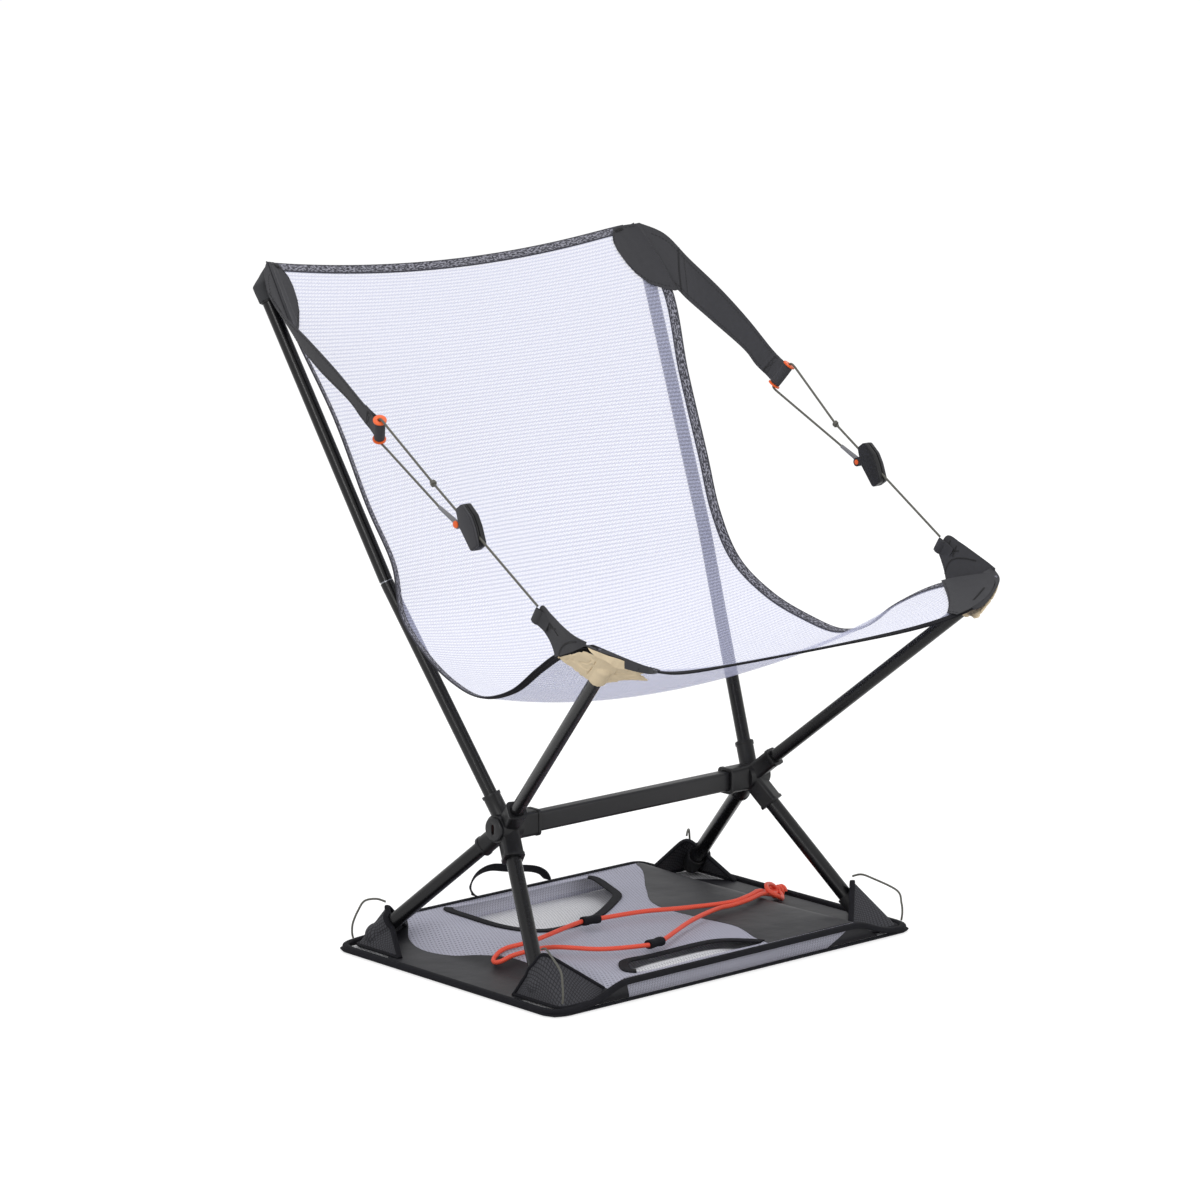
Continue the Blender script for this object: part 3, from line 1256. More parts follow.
class CHAIR_OT_wings(bpy.types.Operator):
    """Cloth wings on the top corners, drawn out into the straps of the bushes"""

    bl_idname = "chair.wings"
    bl_label = "Wings"
    bl_options = {"REGISTER", "UNDO"}

    def execute(self, context):
        thick = sizes().panel_thickness
        t = np.concatenate([np.linspace(0.868, 0.9, 12)[:-1], np.linspace(0.9, 1, 26)])
        share = np.linspace(0, 1, 26)[:, None]
        top, base = (np.interp(t, *np.array(line).T) for line in (WING_TOP, WING_BASE))
        corner = sling(top + (base - top) * share, np.broadcast_to(t, (26, len(t))))
        over = np.clip((t - 0.925) / 0.02, 0, 1)
        corner += grid_normals(corner) * ((1.5 + 1.1 * over) * MM)[None, :, None]
        band = self.band_grid(base[-1])
        # The patch runs on over the side tape to the start of the strap
        join = band[0, -1] + (band[0, 0] - band[0, -1]) * share
        push = unit(grid_normals(corner)[:, -1]) * 0.9 * MM
        corner = np.concatenate([corner, (join + push)[:, None]], axis=1)
        for side, name in ((-1, "left"), (1, "right")):
            patch = cloth(f"wing_corner_{name}", corner, thick, 0, side)
            finish_piece(patch, panel_cloth(), slot="panel_fabric", replaces=f"wing_{name}")
            strap = cloth(f"wing_strap_{name}", band, thick, 0, side)
            finish_piece(strap, panel_cloth(), slot="panel_fabric")
            loop = self.bush_loop(name, side)
            stitches = self.stitches(corner, band, thick, name, side)
        return {"FINISHED"}

    def band_grid(self, depth):
        """Strap from the wing's edge, depth down the sling, to the bush."""
        top = sling(0, 1) + np.array([2, -1.5, 1]) * MM
        low = sling(depth, 1) + np.array([3, -1, 1]) * MM
        upper = [top, at(251, 230, 632.5), at(260, 205, 610.5), at(259.5, 158, 584.5),
                 at(258, 117, 559), in_bush_frame(0, 11.4, -30, 23), in_bush_frame(0, 10.8, -9)]
        lower = [low, at(241.5, 196, 578), at(243.2, 185.5, 570.5), at(246.5, 155, 553),
                 at(247.5, 111.5, 530.5), in_bush_frame(0, -11.4, -30, 23),
                 in_bush_frame(0, -10.8, -9)]
        a, b = smooth_path(upper, 90), smooth_path(lower, 90)
        share = np.linspace(0, 1, 15)[None, :, None]
        return b[:, None] + (a - b)[:, None] * share

    def bush_loop(self, name, side):
        """Strap end folded around the bush."""
        pull = np.linspace(0.16 * math.pi, 1.84 * math.pi, 30)
        ring = [(4.6 * math.sin(a), -4.6 * math.cos(a)) for a in pull]
        leg = [(0.75, -24), (0.9, -16), (1.6, -9)]
        path = leg + ring + [(-x, z) for x, z in reversed(leg)]
        path = smooth_path([in_bush_frame(x, 0, z) for x, z in path], 80)
        y_axis = in_bush_frame(0, 1, 0) - in_bush_frame(0, 0, 0)
        inward = np.cross(path_directions(path), unit(y_axis))
        loop = sweep(f"bush_loop_{name}", path, inward, tape_section(21.8 * MM, 1.1 * MM),
                     side=side)
        return finish_piece(loop, panel_cloth(), slot="panel_fabric")

    def stitches(self, corner, band, thick, name, side):
        """Bar tacks and seams of the wing and its strap."""
        out = []
        face = thick / 2 + 0.15 * MM
        # Bar tack along the top edge, then the long seam between corner and strap
        top = [on_cloth(corner, [0.09], [c], face)[0] for c in (0.36, 0.62)]
        normal = grid_normals(corner)[3, 20]
        segments = bar_tack(top[0], top[1], normal, 3.6 * MM)
        seam = on_cloth(band, np.linspace(0.268, 0.215, 40), np.linspace(0.99, 0.01, 40), face)
        for a, b in zip(seam[:-1:3], seam[3::3]):
            segments += bar_tack(a, b, grid_normals(band)[22, 7], 2.2 * MM)
        segments += running_stitch(on_cloth(band, np.linspace(0.30, 0.325, 40),
                                            np.linspace(0.98, 0.02, 40), face))
        for row in (0.95, 0.06):
            segments += running_stitch(on_cloth(corner, np.full(50, row),
                                                np.linspace(0.05, 0.93, 50), face))
        out.append(thread_piece(f"wing_seam_{name}", segments, side))
        half = thick / 2 + 0.1 * MM
        # Seams along both edges and a crossed box by the bush, on both faces
        for turn in (1, -1):
            rows = []
            for c in (0.12, 0.88):
                rows += running_stitch(on_cloth(band, np.linspace(0.06, 0.9, 90),
                                                np.full(90, c), half * turn))
            label = f"{name}_{'out' if turn > 0 else 'in'}"
            out.append(thread_piece(f"strap_seam_{label}", rows, side))
            rows = []
            box = [(0.955, 0.1), (0.955, 0.9), (0.905, 0.9), (0.905, 0.1), (0.955, 0.1),
                   (0.905, 0.9), (0.955, 0.9), (0.905, 0.1)]
            for (r0, c0), (r1, c1) in zip(box[:-1], box[1:]):
                ends = on_cloth(band, [r0, r1], [c0, c1], (half + 0.9 * MM) * turn)
                rows += bar_tack(ends[0], ends[1], grid_normals(band)[60, 7], 2 * MM, 1.2 * MM)
            out.append(thread_piece(f"strap_cross_{label}", rows, side))
        return out


class CHAIR_OT_tip_pockets(bpy.types.Operator):
    """Cloth hoods over the back pole tips"""

    bl_idname = "chair.tip_pockets"
    bl_label = "Tip pockets"
    bl_options = {"REGISTER", "UNDO"}

    def execute(self, context):
        hood = bevelled_copy("tip_pockets", 0.3 * MM)
        hood.name = "tip_hoods"
        apply_modifier(hood, "REMESH", mode="VOXEL", voxel_size=1.0 * MM)
        apply_modifier(hood, "SMOOTH", factor=0.5, iterations=6)
        move_points(hood, lambda p, n: p + n * (ripple(p, 9 * MM, 3) * 0.5 * MM)[:, None])
        finish_piece(hood, tip_cloth(), slot="pocket_fabric", replaces="tip_pockets", angle=60)
        return {"FINISHED"}


class CHAIR_OT_front_corners(bpy.types.Operator):
    """Front corner patches, side flaps, cord loops and the tan pole sleeves"""

    bl_idname = "chair.front_corners"
    bl_label = "Front corners"
    bl_options = {"REGISTER", "UNDO"}

    def execute(self, context):
        thick = sizes().panel_thickness
        s = np.linspace(0, 1, 40)
        rear = 0.985 - 0.068 * s
        seat = sling(rear + (0.999 - rear) * np.linspace(0, 1, 22)[:, None],
                     np.broadcast_to(0.74 + 0.258 * s, (22, 40)))
        flap = self.flap_grid()
        for side, name in ((-1, "left"), (1, "right")):
            patch = cloth(f"corner_seat_{name}", seat, thick, 2.0 * MM, side)
            finish_piece(patch, panel_cloth(), slot="panel_fabric",
                         replaces=f"corner_patch_{name}")
            wall = cloth(f"corner_flap_{name}", flap, thick, 0, side)
            finish_piece(wall, panel_cloth(), slot="panel_fabric")
            self.lip(name, side, thick)
            loop = self.cord_loop(name, side)
            stitches = self.stitches(seat, flap, thick, name, side)
        self.sleeves()
        return {"FINISHED"}

    def lip(self, name, side, thick):
        """Front of the corner panel, turned down over the sling's edge, and the
        sleeve's cuff and tab under the left one."""
        edge = [sling(u, t) for u, t in (
            (0.976, 0.998), (0.985, 0.99), (0.994, 0.972), (0.999, 0.95), (0.999, 0.92),
            (0.999, 0.89), (0.999, 0.86), (0.999, 0.83), (0.999, 0.8))]
        rim = [at(257.5, -218, 358.5), at(256.3, -224.5, 355.8), at(251.3, -234, 352),
               at(243.5, -240.5, 348.2), at(233, -246, 343.8), at(224, -248.5, 338.5),
               at(216, -250, 334), at(209, -249, 331), at(204, -246.5, 329.5)]
        a = smooth_path(np.array(edge) + np.array([0, 0, 2.2]) * MM, 56)
        b = smooth_path(rim, 56)
        down = np.linspace(0, 1, 8)[:, None, None]
        grid = a[None] + (b - a)[None] * down
        lip = cloth(f"corner_lip_{name}", grid[:, ::-1], thick, 0, side)
        finish_piece(lip, panel_cloth(), slot="panel_fabric")
        if side > 0:
            return
        # On the left the sleeve's mouth stands out under the lip, closed by a tab
        brim = b[8:48] + np.array([0.2, -0.6, -0.8]) * MM
        along = np.linspace(0, 1, len(brim))[:, None]
        depth = np.sin(np.pi * along) ** 0.6 * (1 + 0.16 * np.sin(along * 19))
        crease = np.sin(along * 26) * np.array([0.5, -1.0, 0]) * MM
        skirt = brim[None] + (np.array([-1.5, 1.0, -8.0]) * MM * depth + crease) * down
        cuff = cloth("sleeve_cuff_left", skirt[:, ::-1], thick, 0, side)
        finish_piece(cuff, tan_cloth(), slot="tan_fabric")
        t = np.linspace(0.945, 0.775, 24)
        lead = np.interp(t, [0.775, 0.86, 0.945], [0, 1, 1])[:, None]
        top = sling(1, t) + (np.array([0, -3, 1]) + lead * [0, -9, 0]) * MM
        drop = np.interp(t, [0.775, 0.945], [2.0, 10.0])[:, None] * MM
        low = top + drop * np.array([0.1, -0.12, -0.95])
        tab = cloth("corner_tab_left", top[None] + (low - top)[None] * down, thick, 0, side)
        finish_piece(tab, panel_cloth(), slot="panel_fabric")
        ends = on_cloth(low[None] + (top - low)[None] * down, [0.35, 0.45], [0.25, 0.75])
        mark = thread_piece("corner_tab_stitches", bar_tack(
            ends[0] - np.array([0, 0.8, 0]) * MM, ends[1] - np.array([0, 0.8, 0]) * MM,
            np.array([0, -1.0, 0]), 2.4 * MM), side)

    def flap_grid(self):
        """Side flap, from the eye of the cord down to the lip."""
        low = [at(245.5, -171, 336), at(247.5, -178, 338.5), at(250.5, -190, 342.5),
               at(253, -202, 346.5), at(255.5, -213, 351), at(256.5, -223, 355.5)]
        high = [at(252, -153, 366), at(254, -163, 382), at(256.5, -178, 377),
                at(258.5, -196, 369), at(258.5, -211, 363), at(255.5, -224, 359)]
        a, b = smooth_path(high, 44), smooth_path(low, 44)
        share = np.linspace(0, 1, 15)[None, :, None]
        grid = b[:, None] + (a - b)[:, None] * share
        # The free edge hangs in a hollow curve
        hollow = np.maximum(0, 1 - np.arange(len(a)) / 12)[:, None, None] ** 2
        return grid + hollow * 4 * share * (1 - share) * np.array([-1.7, -3.6, 0]) * MM

    def cord_loop(self, name, side):
        """Webbing folded into an eye that holds the cord's knot."""
        end = CORD_LEN / MM
        ring = [(4.6 * math.sin(a), end + 4 - 4.6 * math.cos(a))
                for a in np.linspace(1.7 * math.pi, 0.3 * math.pi, 30)]
        path = [(-1.2, end + 19), (-1.4, end + 12)] + ring + [(1.4, end + 12), (1.2, end + 19)]
        path = smooth_path([in_cord_frame(x, -5.5, z) for x, z in path], 80)
        y_axis = in_cord_frame(0, 1, 0) - in_cord_frame(0, 0, 0)
        inward = np.cross(path_directions(path), unit(y_axis))
        loop = sweep(f"cord_loop_{name}", path, inward, tape_section(15 * MM, 1.2 * MM),
                     side=side)
        return finish_piece(loop, panel_cloth(), slot="panel_fabric")

    def stitches(self, seat, flap, thick, name, side):
        """Bar tacks and seams of the flap and the seat patch."""
        out = []
        segments = []
        normal = grid_normals(flap)[10, 6]
        # Inner face, then outer face: a zigzag by the eye, and the long bar tack
        for turn, strokes in (
                (1, (((0.18, 0.72), (0.25, 0.9)), ((0.25, 0.55), (0.34, 0.85)),
                     ((0.2, 0.62), (0.36, 0.74)), ((0.0, 0.36), (0.61, 0.71)))),
                (-1, (((0.22, 0.72), (0.3, 0.55)), ((0.3, 0.68), (0.4, 0.45)),
                      ((0.24, 0.55), (0.4, 0.62)), ((0.23, 0.02), (0.82, 0.57))))):
            lift = (thick / 2 + 0.15 * MM) * turn
            for (r0, c0), (r1, c1) in strokes:
                line = on_cloth(flap, np.linspace(r0, r1, 9), np.linspace(c0, c1, 9), lift)
                for a, b in zip(line[:-1], line[1:]):
                    segments += bar_tack(a, b, normal, 1.9 * MM, 0.7 * MM)
        out.append(thread_piece(f"flap_stitches_{name}", segments, side))
        face = thick / 2 + 2.1 * MM
        tack = on_cloth(seat, [0.76, 0.81], [0.41, 0.72], face)
        rows = bar_tack(tack[0], tack[1], grid_normals(seat)[18, 20], 2.8 * MM)
        rows += running_stitch(on_cloth(seat, np.linspace(0.03, 0.93, 50), np.full(50, 0.04),
                                        face))
        rows += running_stitch(on_cloth(seat, np.full(50, 0.05), np.linspace(0.05, 0.95, 50),
                                        face))
        out.append(thread_piece(f"seat_stitches_{name}", rows, side))
        return out

    def sleeves(self):
        """Tan sleeves, crumpled where the cloth stands off the pole."""
        sleeve = bevelled_copy("pole_pockets", 0.3 * MM)
        sleeve.name = "pole_sleeves"
        apply_modifier(sleeve, "REMESH", mode="VOXEL", voxel_size=0.75 * MM)
        apply_modifier(sleeve, "SMOOTH", factor=0.5, iterations=6)

        def crumple(points, normals):
            folds = (ripple(points * [1, 1, 0.6], 16 * MM, 7) * 1.5
                     + ripple(points, 7 * MM, 2) * 0.5)
            creases = -np.exp(-(ripple(points, 12 * MM, 11) / 0.1) ** 2) * 0.9
            # Only outward folds where the cloth lies on the pole
            way = unit(SEAT_TIP - HUB)
            off = np.abs(points) * [1, 0, 0] + points * [0, 1, 1] - SEAT_TIP
            near = np.linalg.norm(off - (off @ way)[:, None] * way, axis=1) < 11 * MM
            size = np.where(near, np.maximum(0.15, (folds + creases) * 0.5), folds + creases)
            return points + normals * (size * MM)[:, None]
        move_points(sleeve, crumple)
        finish_piece(sleeve, tan_cloth(), slot="tan_fabric", replaces="pole_pockets", angle=70)


class CHAIR_OT_adjusters(bpy.types.Operator):
    """Bushes, cord adjusters with their pins and the cord sleeves"""

    bl_idname = "chair.adjusters"
    bl_label = "Adjusters"
    bl_options = {"REGISTER", "UNDO"}

    def execute(self, context):
        for name in ("left", "right"):
            for node, width, finish, body, slot in (
                    (f"cord_bush_{name}", 0.35 * MM, orange_acetal(), f"bush_{name}", "orange"),
                    (f"adjuster_body_{name}", 0.5 * MM, hub_nylon(), f"adjuster_{name}",
                     "black_plastic"),
                    (f"adjuster_cover_{name}", 0.45 * MM, pod_polymer(), f"adjuster_{name}",
                     "grey_plastic"),
                    (f"adjuster_pin_{name}", 0.5 * MM, orange_acetal(), f"adjuster_{name}",
                     "orange"),
                    (f"cord_sleeve_{name}", 0.3 * MM, sleeve_polymer(), f"adjuster_{name}",
                     "grey_plastic")):
                piece = bevelled_copy(node, width)
                finish_piece(piece, finish, body=body, slot=slot, replaces=node, angle=35)
        return {"FINISHED"}


# ---- Ground sheet ----

def top_height(x, y):
    """Height of the ground sheet's top layer in metres, for a place in metres."""
    x, y = np.asarray(x) / MM, (np.asarray(y) - HUB_Y) / MM

    def ease(a, b, v):
        s = np.clip((v - a) / (b - a), 0, 1)
        return s * s * (3 - 2 * s)
    high = sizes().wall / MM
    rise = ease(-178, -138, x) * (1 - ease(146, 188, x))
    sag = 1.6 * np.cos(np.clip((y - 2) / 151, -1, 1) * math.pi / 2) * rise
    waves = 0.7 * np.sin(x / 31 + y / 53) * np.sin(y / 37 - x / 71) * rise
    return (2.9 + (high - 2.4) * rise - sag + waves) * MM


# Outlines of the mouths and seams in plan, in millimetres
REAR_MOUTH = np.array([(-111, 175), (-110, 72), (-101, 41), (-86, 24), (-54, 23), (-19, 29),
                       (11, 46), (53, 75), (77, 135), (80, 175)], float)
FRONT_MOUTH = np.array([(46, -170), (40, -140), (26, -120), (10, -108), (-82, -106.5),
                        (-101, -99), (-128, -134), (-124, -142), (-122, -170)], float)
LEFT_SEAM = [(-158, -200), (-157, -60), (-156, -8), (-163, 32), (-174, 61), (-180, 91),
             (-169, 126), (-150, 154), (-148, 200)]
RIGHT_SEAM = [(148, 200), (139, 141), (92, 80), (58, 30), (58, -29), (60, -81), (43, -132),
              (38, -200)]


def in_plan(points):
    return np.asarray(points, float) * MM + [0, HUB_Y]


def rounded(ring, passes):
    """A closed ring of points with its corners worn round."""
    for _ in range(passes):
        ring = (np.roll(ring, 1, 0) + 2 * ring + np.roll(ring, -1, 0)) / 4
    return ring


def round_ring(polygon):
    """Outline of a mouth in plan, cut off at the front and rear edges and rounded."""
    dense = closed_resample(polygon * MM, 1 * MM) / MM
    dense[:, 1] = np.clip(dense[:, 1], 7 - SHEET_FRONT, SHEET_REAR - 7)
    return rounded(closed_resample(in_plan(dense), 3 * MM), 26)


class CHAIR_OT_ground_sheet(bpy.types.Operator):
    """Base, walls and top layer of the ground sheet"""

    bl_idname = "chair.ground_sheet"
    bl_label = "Ground sheet"
    bl_options = {"REGISTER", "UNDO"}

    def execute(self, context):
        thick = sizes().sheet_thickness
        l, r, f, b = SHEET_LEFT, SHEET_RIGHT, SHEET_FRONT, SHEET_REAR
        base_line = in_plan([(-l + 8, -f), (r - 8, -f), (r, -f + 8), (r, b - 8), (r - 8, b),
                             (-l + 8, b), (-l, b - 8), (-l, -f + 8)])
        base, area = laid_cloth("sheet_base", base_line, [], self.base_height, thick,
                                8 * MM)
        finish_piece(base, base_mesh_cloth(), slot="sheet_mesh", replaces="ground_base")
        mouths = [round_ring(REAR_MOUTH), round_ring(FRONT_MOUTH)]
        cut = 60
        x0, x1, y0, y1 = -l + 3, r - 3, -f + 2, b - 2
        left, right = (spline(np.array([(x, y, 0) for x, y in seam], float),
                              np.linspace(0, 1, 120))[:, :2] for seam in (LEFT_SEAM, RIGHT_SEAM))
        for seam in (left, right):
            seam[:, 1] = np.clip(seam[:, 1], y0, y1)
        right = right[::-1]
        middle = in_plan(np.vstack([left[::-1], right]))
        ends = {
            "left": np.vstack([[(x0 + cut, y0), (x0, y0 + cut), (x0, y1 - cut), (x0 + cut, y1)],
                               left[::-1]])[::-1],
            "right": np.vstack([right, [(x1 - cut, y1), (x1, y1 - cut), (x1, y0 + cut),
                                        (x1 - cut, y0)]])}
        top, area = laid_cloth("sheet_top", middle, mouths, top_height, thick)
        finish_piece(top, sheet_mesh_cloth(), slot="sheet_mesh", replaces="ground_top")
        for name, outline in ends.items():
            panel, area = laid_cloth(f"sheet_end_{name}", in_plan(outline), [],
                                     lambda x, y: top_height(x, y) + 0.35 * MM, thick)
            finish_piece(panel, sheet_panel_cloth(), slot="sheet_panel",
                         replaces="ground_panels" if name == "left" else ())
        self.walls(thick)
        return {"FINISHED"}

    def base_height(self, x, y):
        """The base lies on the ground and rises a little, slack, under the mouths."""
        x, y = x / MM, (y - HUB_Y) / MM
        front = np.exp(-((x + 42) / 84) ** 4 - ((y + 115) / 17) ** 2)
        rear = np.exp(-((x + 20) / 80) ** 4 - ((y - 100) / 40) ** 2)
        return (0.75 + 14 * front + 6 * rear) * MM

    def walls(self, thick):
        """Mesh walls, each with a coated end that meets the mesh along a slanted seam."""
        share = np.linspace(0, 1, 9)
        z = 1.6 + (sizes().wall / MM - 0.4) * share
        right = 182 - 32 * share
        cuts = (-172 + 30 * share, -136 - 0.3 * z, np.minimum(112 + 1.9 * z, right - 0.6), right)
        for name, y, way in (("front", -SHEET_FRONT + 0.8, -1), ("rear", SHEET_REAR - 0.8, 1)):
            for part, start, end, finish, slot in (
                    ("", cuts[1], cuts[2], sheet_mesh_cloth(), "sheet_mesh"),
                    ("_left_end", cuts[0], cuts[1], sheet_panel_cloth(), "sheet_panel"),
                    ("_right_end", cuts[2], cuts[3], sheet_panel_cloth(), "sheet_panel")):
                columns = 16 if part else 70
                x = start[:, None] + (end - start)[:, None] * np.linspace(0, 1, columns)
                bow = way * 1.2 * np.sin(share * math.pi)[:, None]
                grid = np.array([0, HUB_Y, 0]) + np.stack(
                    [x, np.broadcast_to(y + bow, x.shape),
                     np.broadcast_to(z[:, None], x.shape)], -1) * MM
                if way > 0:
                    grid = grid[:, ::-1]
                wall = cloth(f"sheet_wall_{name}{part}", grid, thick)
                finish_piece(wall, finish, slot=slot,
                             replaces="ground_walls" if way < 0 and not part else ())


class CHAIR_OT_sheet_bindings(bpy.types.Operator):
    """Piped edge of the ground sheet and the tapes of its two mouths"""

    bl_idname = "chair.sheet_bindings"
    bl_label = "Sheet bindings"
    bl_options = {"REGISTER", "UNDO"}

    def execute(self, context):
        low, high = 3.8, sizes().wall / MM - 0.5
        l, e, f, b = SHEET_LEFT + 4, SHEET_RIGHT + 4, SHEET_FRONT + 4, SHEET_REAR + 4
        loop = [(-l, 0, low), (-l, b - 14, low), (-l + 4, b - 4, low), (-l + 14, b, low),
                (-182, b, low + 2), (-150, b, high), (0, b, high), (154, b, high),
                (188, b, low + 2), (e - 14, b, low), (e - 4, b - 4, low), (e, b - 14, low),
                (e, -f + 14, low), (e - 4, -f + 4, low), (e - 14, -f, low),
                (188, -f, low + 2), (154, -f, high), (0, -f, high), (-150, -f, high),
                (-182, -f, low + 2), (-l + 14, -f, low), (-l + 4, -f + 4, low),
                (-l, -f + 14, low)]
        ring = resample(np.array([at(*p) for p in loop] + [at(*loop[0])]), 4 * MM)[:-1]
        piping = sweep("sheet_piping", rounded(ring, 6), np.array([0, 0, 1.0]),
                       tape_section(7 * MM, 5.6 * MM, power=0.75), closed=True)
        finish_piece(piping, black_tape(), slot="black_binding", replaces="ground_binding")
        # Lower roll where the base is turned under, along the ground
        square = [(-l, 0), (-l, b - 14), (-l + 4, b - 4), (-l + 14, b), (e - 14, b),
                  (e - 4, b - 4), (e, b - 14), (e, -f + 14), (e - 4, -f + 4),
                  (e - 14, -f), (-l + 14, -f), (-l + 4, -f + 4), (-l, -f + 14)]
        under = resample(np.array([at(x * 1.004, y * 1.004, 1.5)
                                   for x, y in square + square[:1]]), 5 * MM)[:-1]
        hem = sweep("sheet_hem", under, np.array([0, 0, 1.0]),
                    tape_section(5 * MM, 2.6 * MM, power=0.75), closed=True)
        finish_piece(hem, black_tape(), slot="black_binding")
        for index, mouth in enumerate((REAR_MOUTH, FRONT_MOUTH)):
            ring = round_ring(mouth)
            # The tape ends at the sheet's edge, where the mouth is open
            edge = ring[:, 1].max() if index == 0 else ring[:, 1].min()
            held = np.abs(ring[:, 1] - edge) > 2.5 * MM
            first = int(np.argmax(held & ~np.roll(held, 1)))
            ring = np.roll(ring, -first, 0)[:int(held.sum())]
            z = top_height(ring[:, 0], ring[:, 1]) + 1.3 * MM
            tape = sweep(f"mouth_tape_{index + 1}", np.column_stack([ring, z]),
                         np.array([0, 0, 1.0]), tape_section(9.5 * MM, 1.8 * MM))
            finish_piece(tape, black_tape(), slot="black_binding",
                         replaces="opening_bindings" if index == 0 else ())
        return {"FINISHED"}


class CHAIR_OT_corner_pockets(bpy.types.Operator):
    """Hoods over the feet at the sheet's corners, with piped edges and stake loops"""

    bl_idname = "chair.corner_pockets"
    bl_label = "Corner pockets"
    bl_options = {"REGISTER", "UNDO"}

    def execute(self, context):
        for side, flank in ((-1, "left"), (1, "right")):
            for way, end, foot, apex in ((1, "rear", REAR_FOOT, REAR_APEX),
                                         (-1, "front", FRONT_FOOT, FRONT_APEX)):
                self.pocket(side, f"{end}_{flank}", way, foot, apex)
                self.stake_loop(side, f"{end}_{flank}", way, apex)
        return {"FINISHED"}

    def corner(self, way):
        """Corner of a pocket, low on the sheet: way is 1 at the rear, -1 at the front."""
        edge = (SHEET_REAR if way > 0 else SHEET_FRONT) - 4
        return at(POCKET_X, way * edge, 4.4)

    def pocket(self, side, name, way, foot, apex):
        """Hood from two edges of the sheet up to its apex, clear of the foot and leg."""
        corner = self.corner(way)
        reach = POCKET_REACH * MM
        a = corner + np.array([-reach, 0, 0])
        b = corner + np.array([0, -way * reach, 0])
        tip = apex + np.array([0, 0, 2.4 * MM])
        s = np.linspace(0, 1, 81)
        legs = np.where(s[:, None] < 0.5, a + (corner - a) * (2 * s)[:, None],
                        corner + (b - corner) * (2 * s - 1)[:, None])
        hem = np.where(s[:, None] < 0.5, a + (tip - a) * (2 * s)[:, None],
                       tip + (b - tip) * (2 * s - 1)[:, None])
        for line in (legs, hem):
            for _ in range(30):
                line[1:-1] = (line[:-2] + 2 * line[1:-1] + line[2:]) / 4
        v = np.linspace(0, 1, 25)[:, None, None]
        grid = legs[None] + (hem - legs)[None] * v
        grid = self.clear_of(grid, foot, FOOT_R + 2.4 * MM, foot, HUB)
        if way < 0:
            grid = grid[:, ::-1]
        hood = cloth(f"pocket_{name}", grid, 0.9 * MM, 0, side)
        finish_piece(hood, pocket_cloth(), slot="pocket_fabric",
                     replaces="corner_pockets" if name == "rear_left" else ())
        for label, line in (("hem", grid[-1]), ("base", grid[0])):
            path = resample(line, 2.5 * MM)
            trim = sweep(f"pocket_{label}_{name}", path, carried_normals(path),
                         tape_section(5.4 * MM, 3.0 * MM, power=0.7), side=side)
            finish_piece(trim, black_tape(), slot="black_binding")

    def clear_of(self, grid, centre, radius, start, end):
        """Pushes points out of a ball and of the leg that rises from it."""
        out = grid.copy()
        off = out - centre
        size = np.linalg.norm(off, axis=-1, keepdims=True)
        out = np.where(size < radius, centre + off / np.maximum(size, 1e-9) * radius, out)
        way = unit(end - start)
        along = ((out - start) @ way)[..., None]
        foot = start + way * along
        off = out - foot
        size = np.linalg.norm(off, axis=-1, keepdims=True)
        clear = LEG_R + 2.4 * MM
        near = (size < clear) & (along > 0)
        return np.where(near, foot + off / np.maximum(size, 1e-9) * clear, out)

    def stake_loop(self, side, name, way, apex):
        """Cord from the pocket's apex down to its corner."""
        corner = self.corner(way)
        corner[2] = 0
        flat = (corner - apex) * [1, 1, 0]
        out, run = unit(flat), np.linalg.norm(flat) / MM
        up = np.array([0, 0, 1.0])
        path = smooth_path([apex + up * 4.2 * MM, apex + (out * 9 + up * 7) * MM,
                            apex + (out * 20 + up * 5) * MM,
                            apex + (out * (run - 3) - up * 4) * MM,
                            apex + (out * (run + 2) - up * 16) * MM,
                            apex + (out * (run + 3) - up * 25) * MM,
                            corner + (out * 2 + up * 10) * MM], 48)
        loop = sweep(f"stake_cord_{name}", path, carried_normals(path, (1, 0, 0)),
                     round_section(1.0 * MM, 10), side=side)
        finish_piece(loop, cord_braid(), body=f"stake_loop_{name}", slot="cord",
                     replaces=f"stake_loop_{name}")


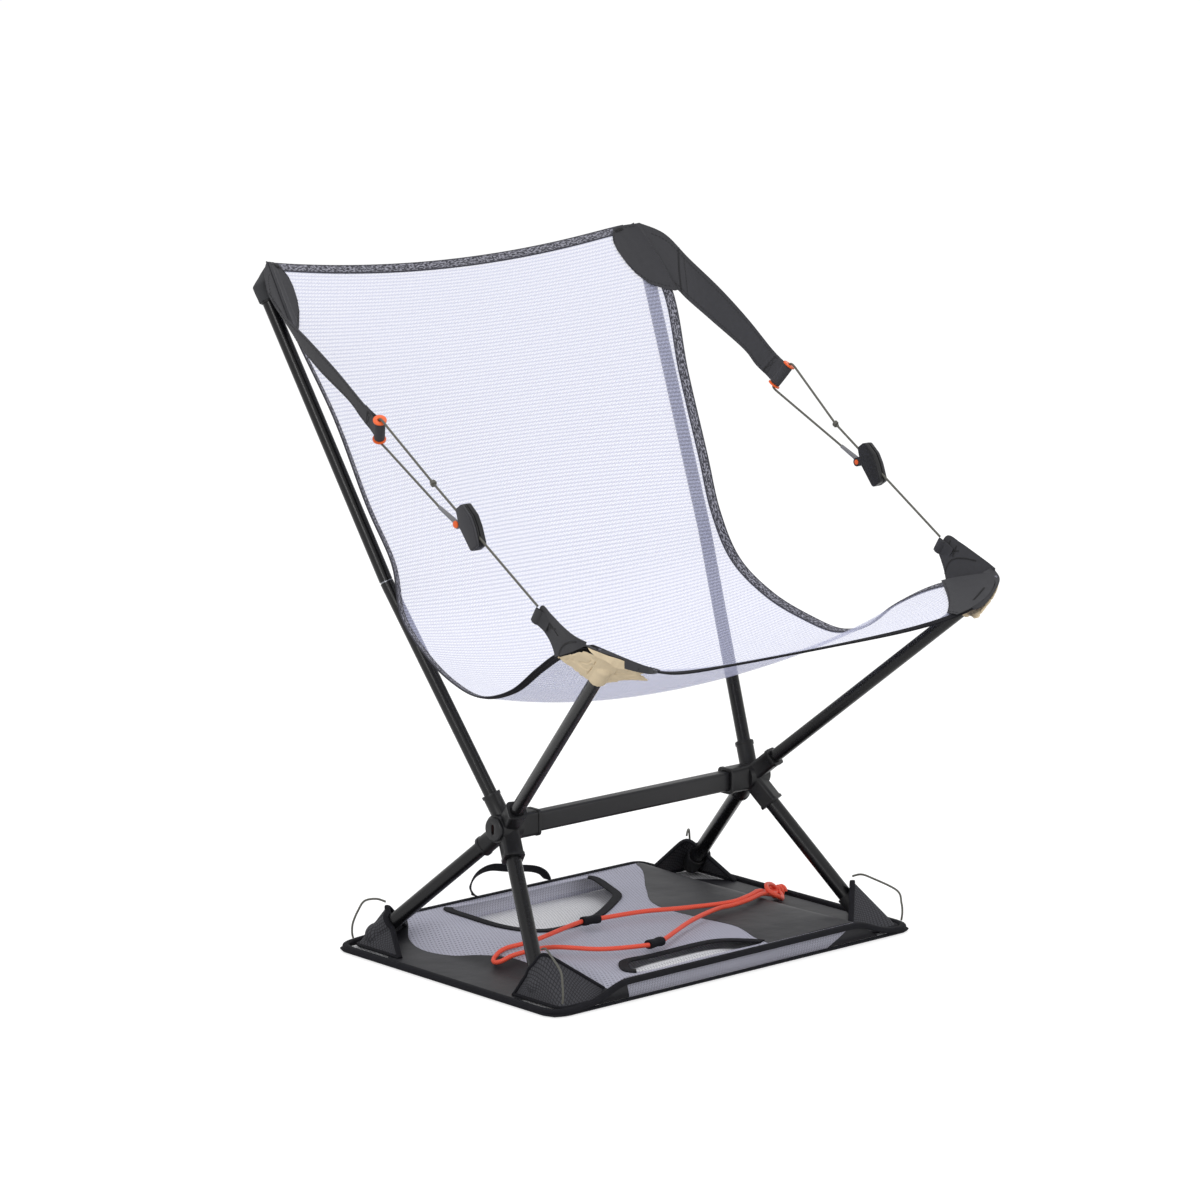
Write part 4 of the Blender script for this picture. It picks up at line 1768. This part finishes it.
class CHAIR_OT_handle(bpy.types.Operator):
    """Webbing handle on the rear edge"""

    bl_idname = "chair.handle"
    bl_label = "Handle"
    bl_options = {"REGISTER", "UNDO"}

    def execute(self, context):
        arch = [(-61, 22.8), (-66, 32), (-58, 43), (-40, 47), (-15, 42), (12, 37), (26, 31),
                (33, 22.8)]
        path = smooth_path([at(x, SHEET_REAR + 4, z) for x, z in arch], 70)
        # The webbing turns its flat side to the front as it rises
        turn = (math.radians(58) * np.sin(np.linspace(0, math.pi, len(path))) ** 0.6)[:, None]
        flat = np.cross(path_directions(path), [0, 1.0, 0])
        webbing = sweep("handle_webbing", path,
                        flat * np.cos(turn) + np.array([0, 1.0, 0]) * np.sin(turn),
                        tape_section(9.5 * MM, 1.7 * MM))
        finish_piece(webbing, black_webbing(), body="handle", slot="webbing", replaces="handle")
        return {"FINISHED"}


class CHAIR_PT_panel(bpy.types.Panel):
    """The chair's operators, sizes and colours"""

    bl_idname = "CHAIR_PT_panel"
    bl_label = "Camp chair"
    bl_space_type = "VIEW_3D"
    bl_region_type = "UI"
    bl_category = "Camp chair"

    def draw(self, context):
        for operator in OPERATORS:
            self.layout.operator(operator.bl_idname)
        for group in (context.scene.chair_sizes, context.scene.chair_colours):
            box = self.layout.box()
            for name in type(group).__annotations__:
                box.prop(group, name)


OPERATORS = (
    CHAIR_OT_stage, CHAIR_OT_recline_cords, CHAIR_OT_bungee, CHAIR_OT_frame, CHAIR_OT_sling,
    CHAIR_OT_wings, CHAIR_OT_tip_pockets, CHAIR_OT_front_corners, CHAIR_OT_adjusters,
    CHAIR_OT_ground_sheet, CHAIR_OT_sheet_bindings, CHAIR_OT_corner_pockets, CHAIR_OT_handle)
CLASSES = (ChairColours, ChairSizes, *OPERATORS, CHAIR_PT_panel)


def register():
    for cls in CLASSES:
        bpy.utils.register_class(cls)
    bpy.types.Scene.chair_colours = bpy.props.PointerProperty(type=ChairColours)
    bpy.types.Scene.chair_sizes = bpy.props.PointerProperty(type=ChairSizes)


def unregister():
    del bpy.types.Scene.chair_sizes
    del bpy.types.Scene.chair_colours
    for cls in reversed(CLASSES):
        bpy.utils.unregister_class(cls)


def main():
    register()
    for operator in OPERATORS:
        group, name = operator.bl_idname.split(".")
        getattr(getattr(bpy.ops, group), name)()


if __name__ == "__main__":
    main()
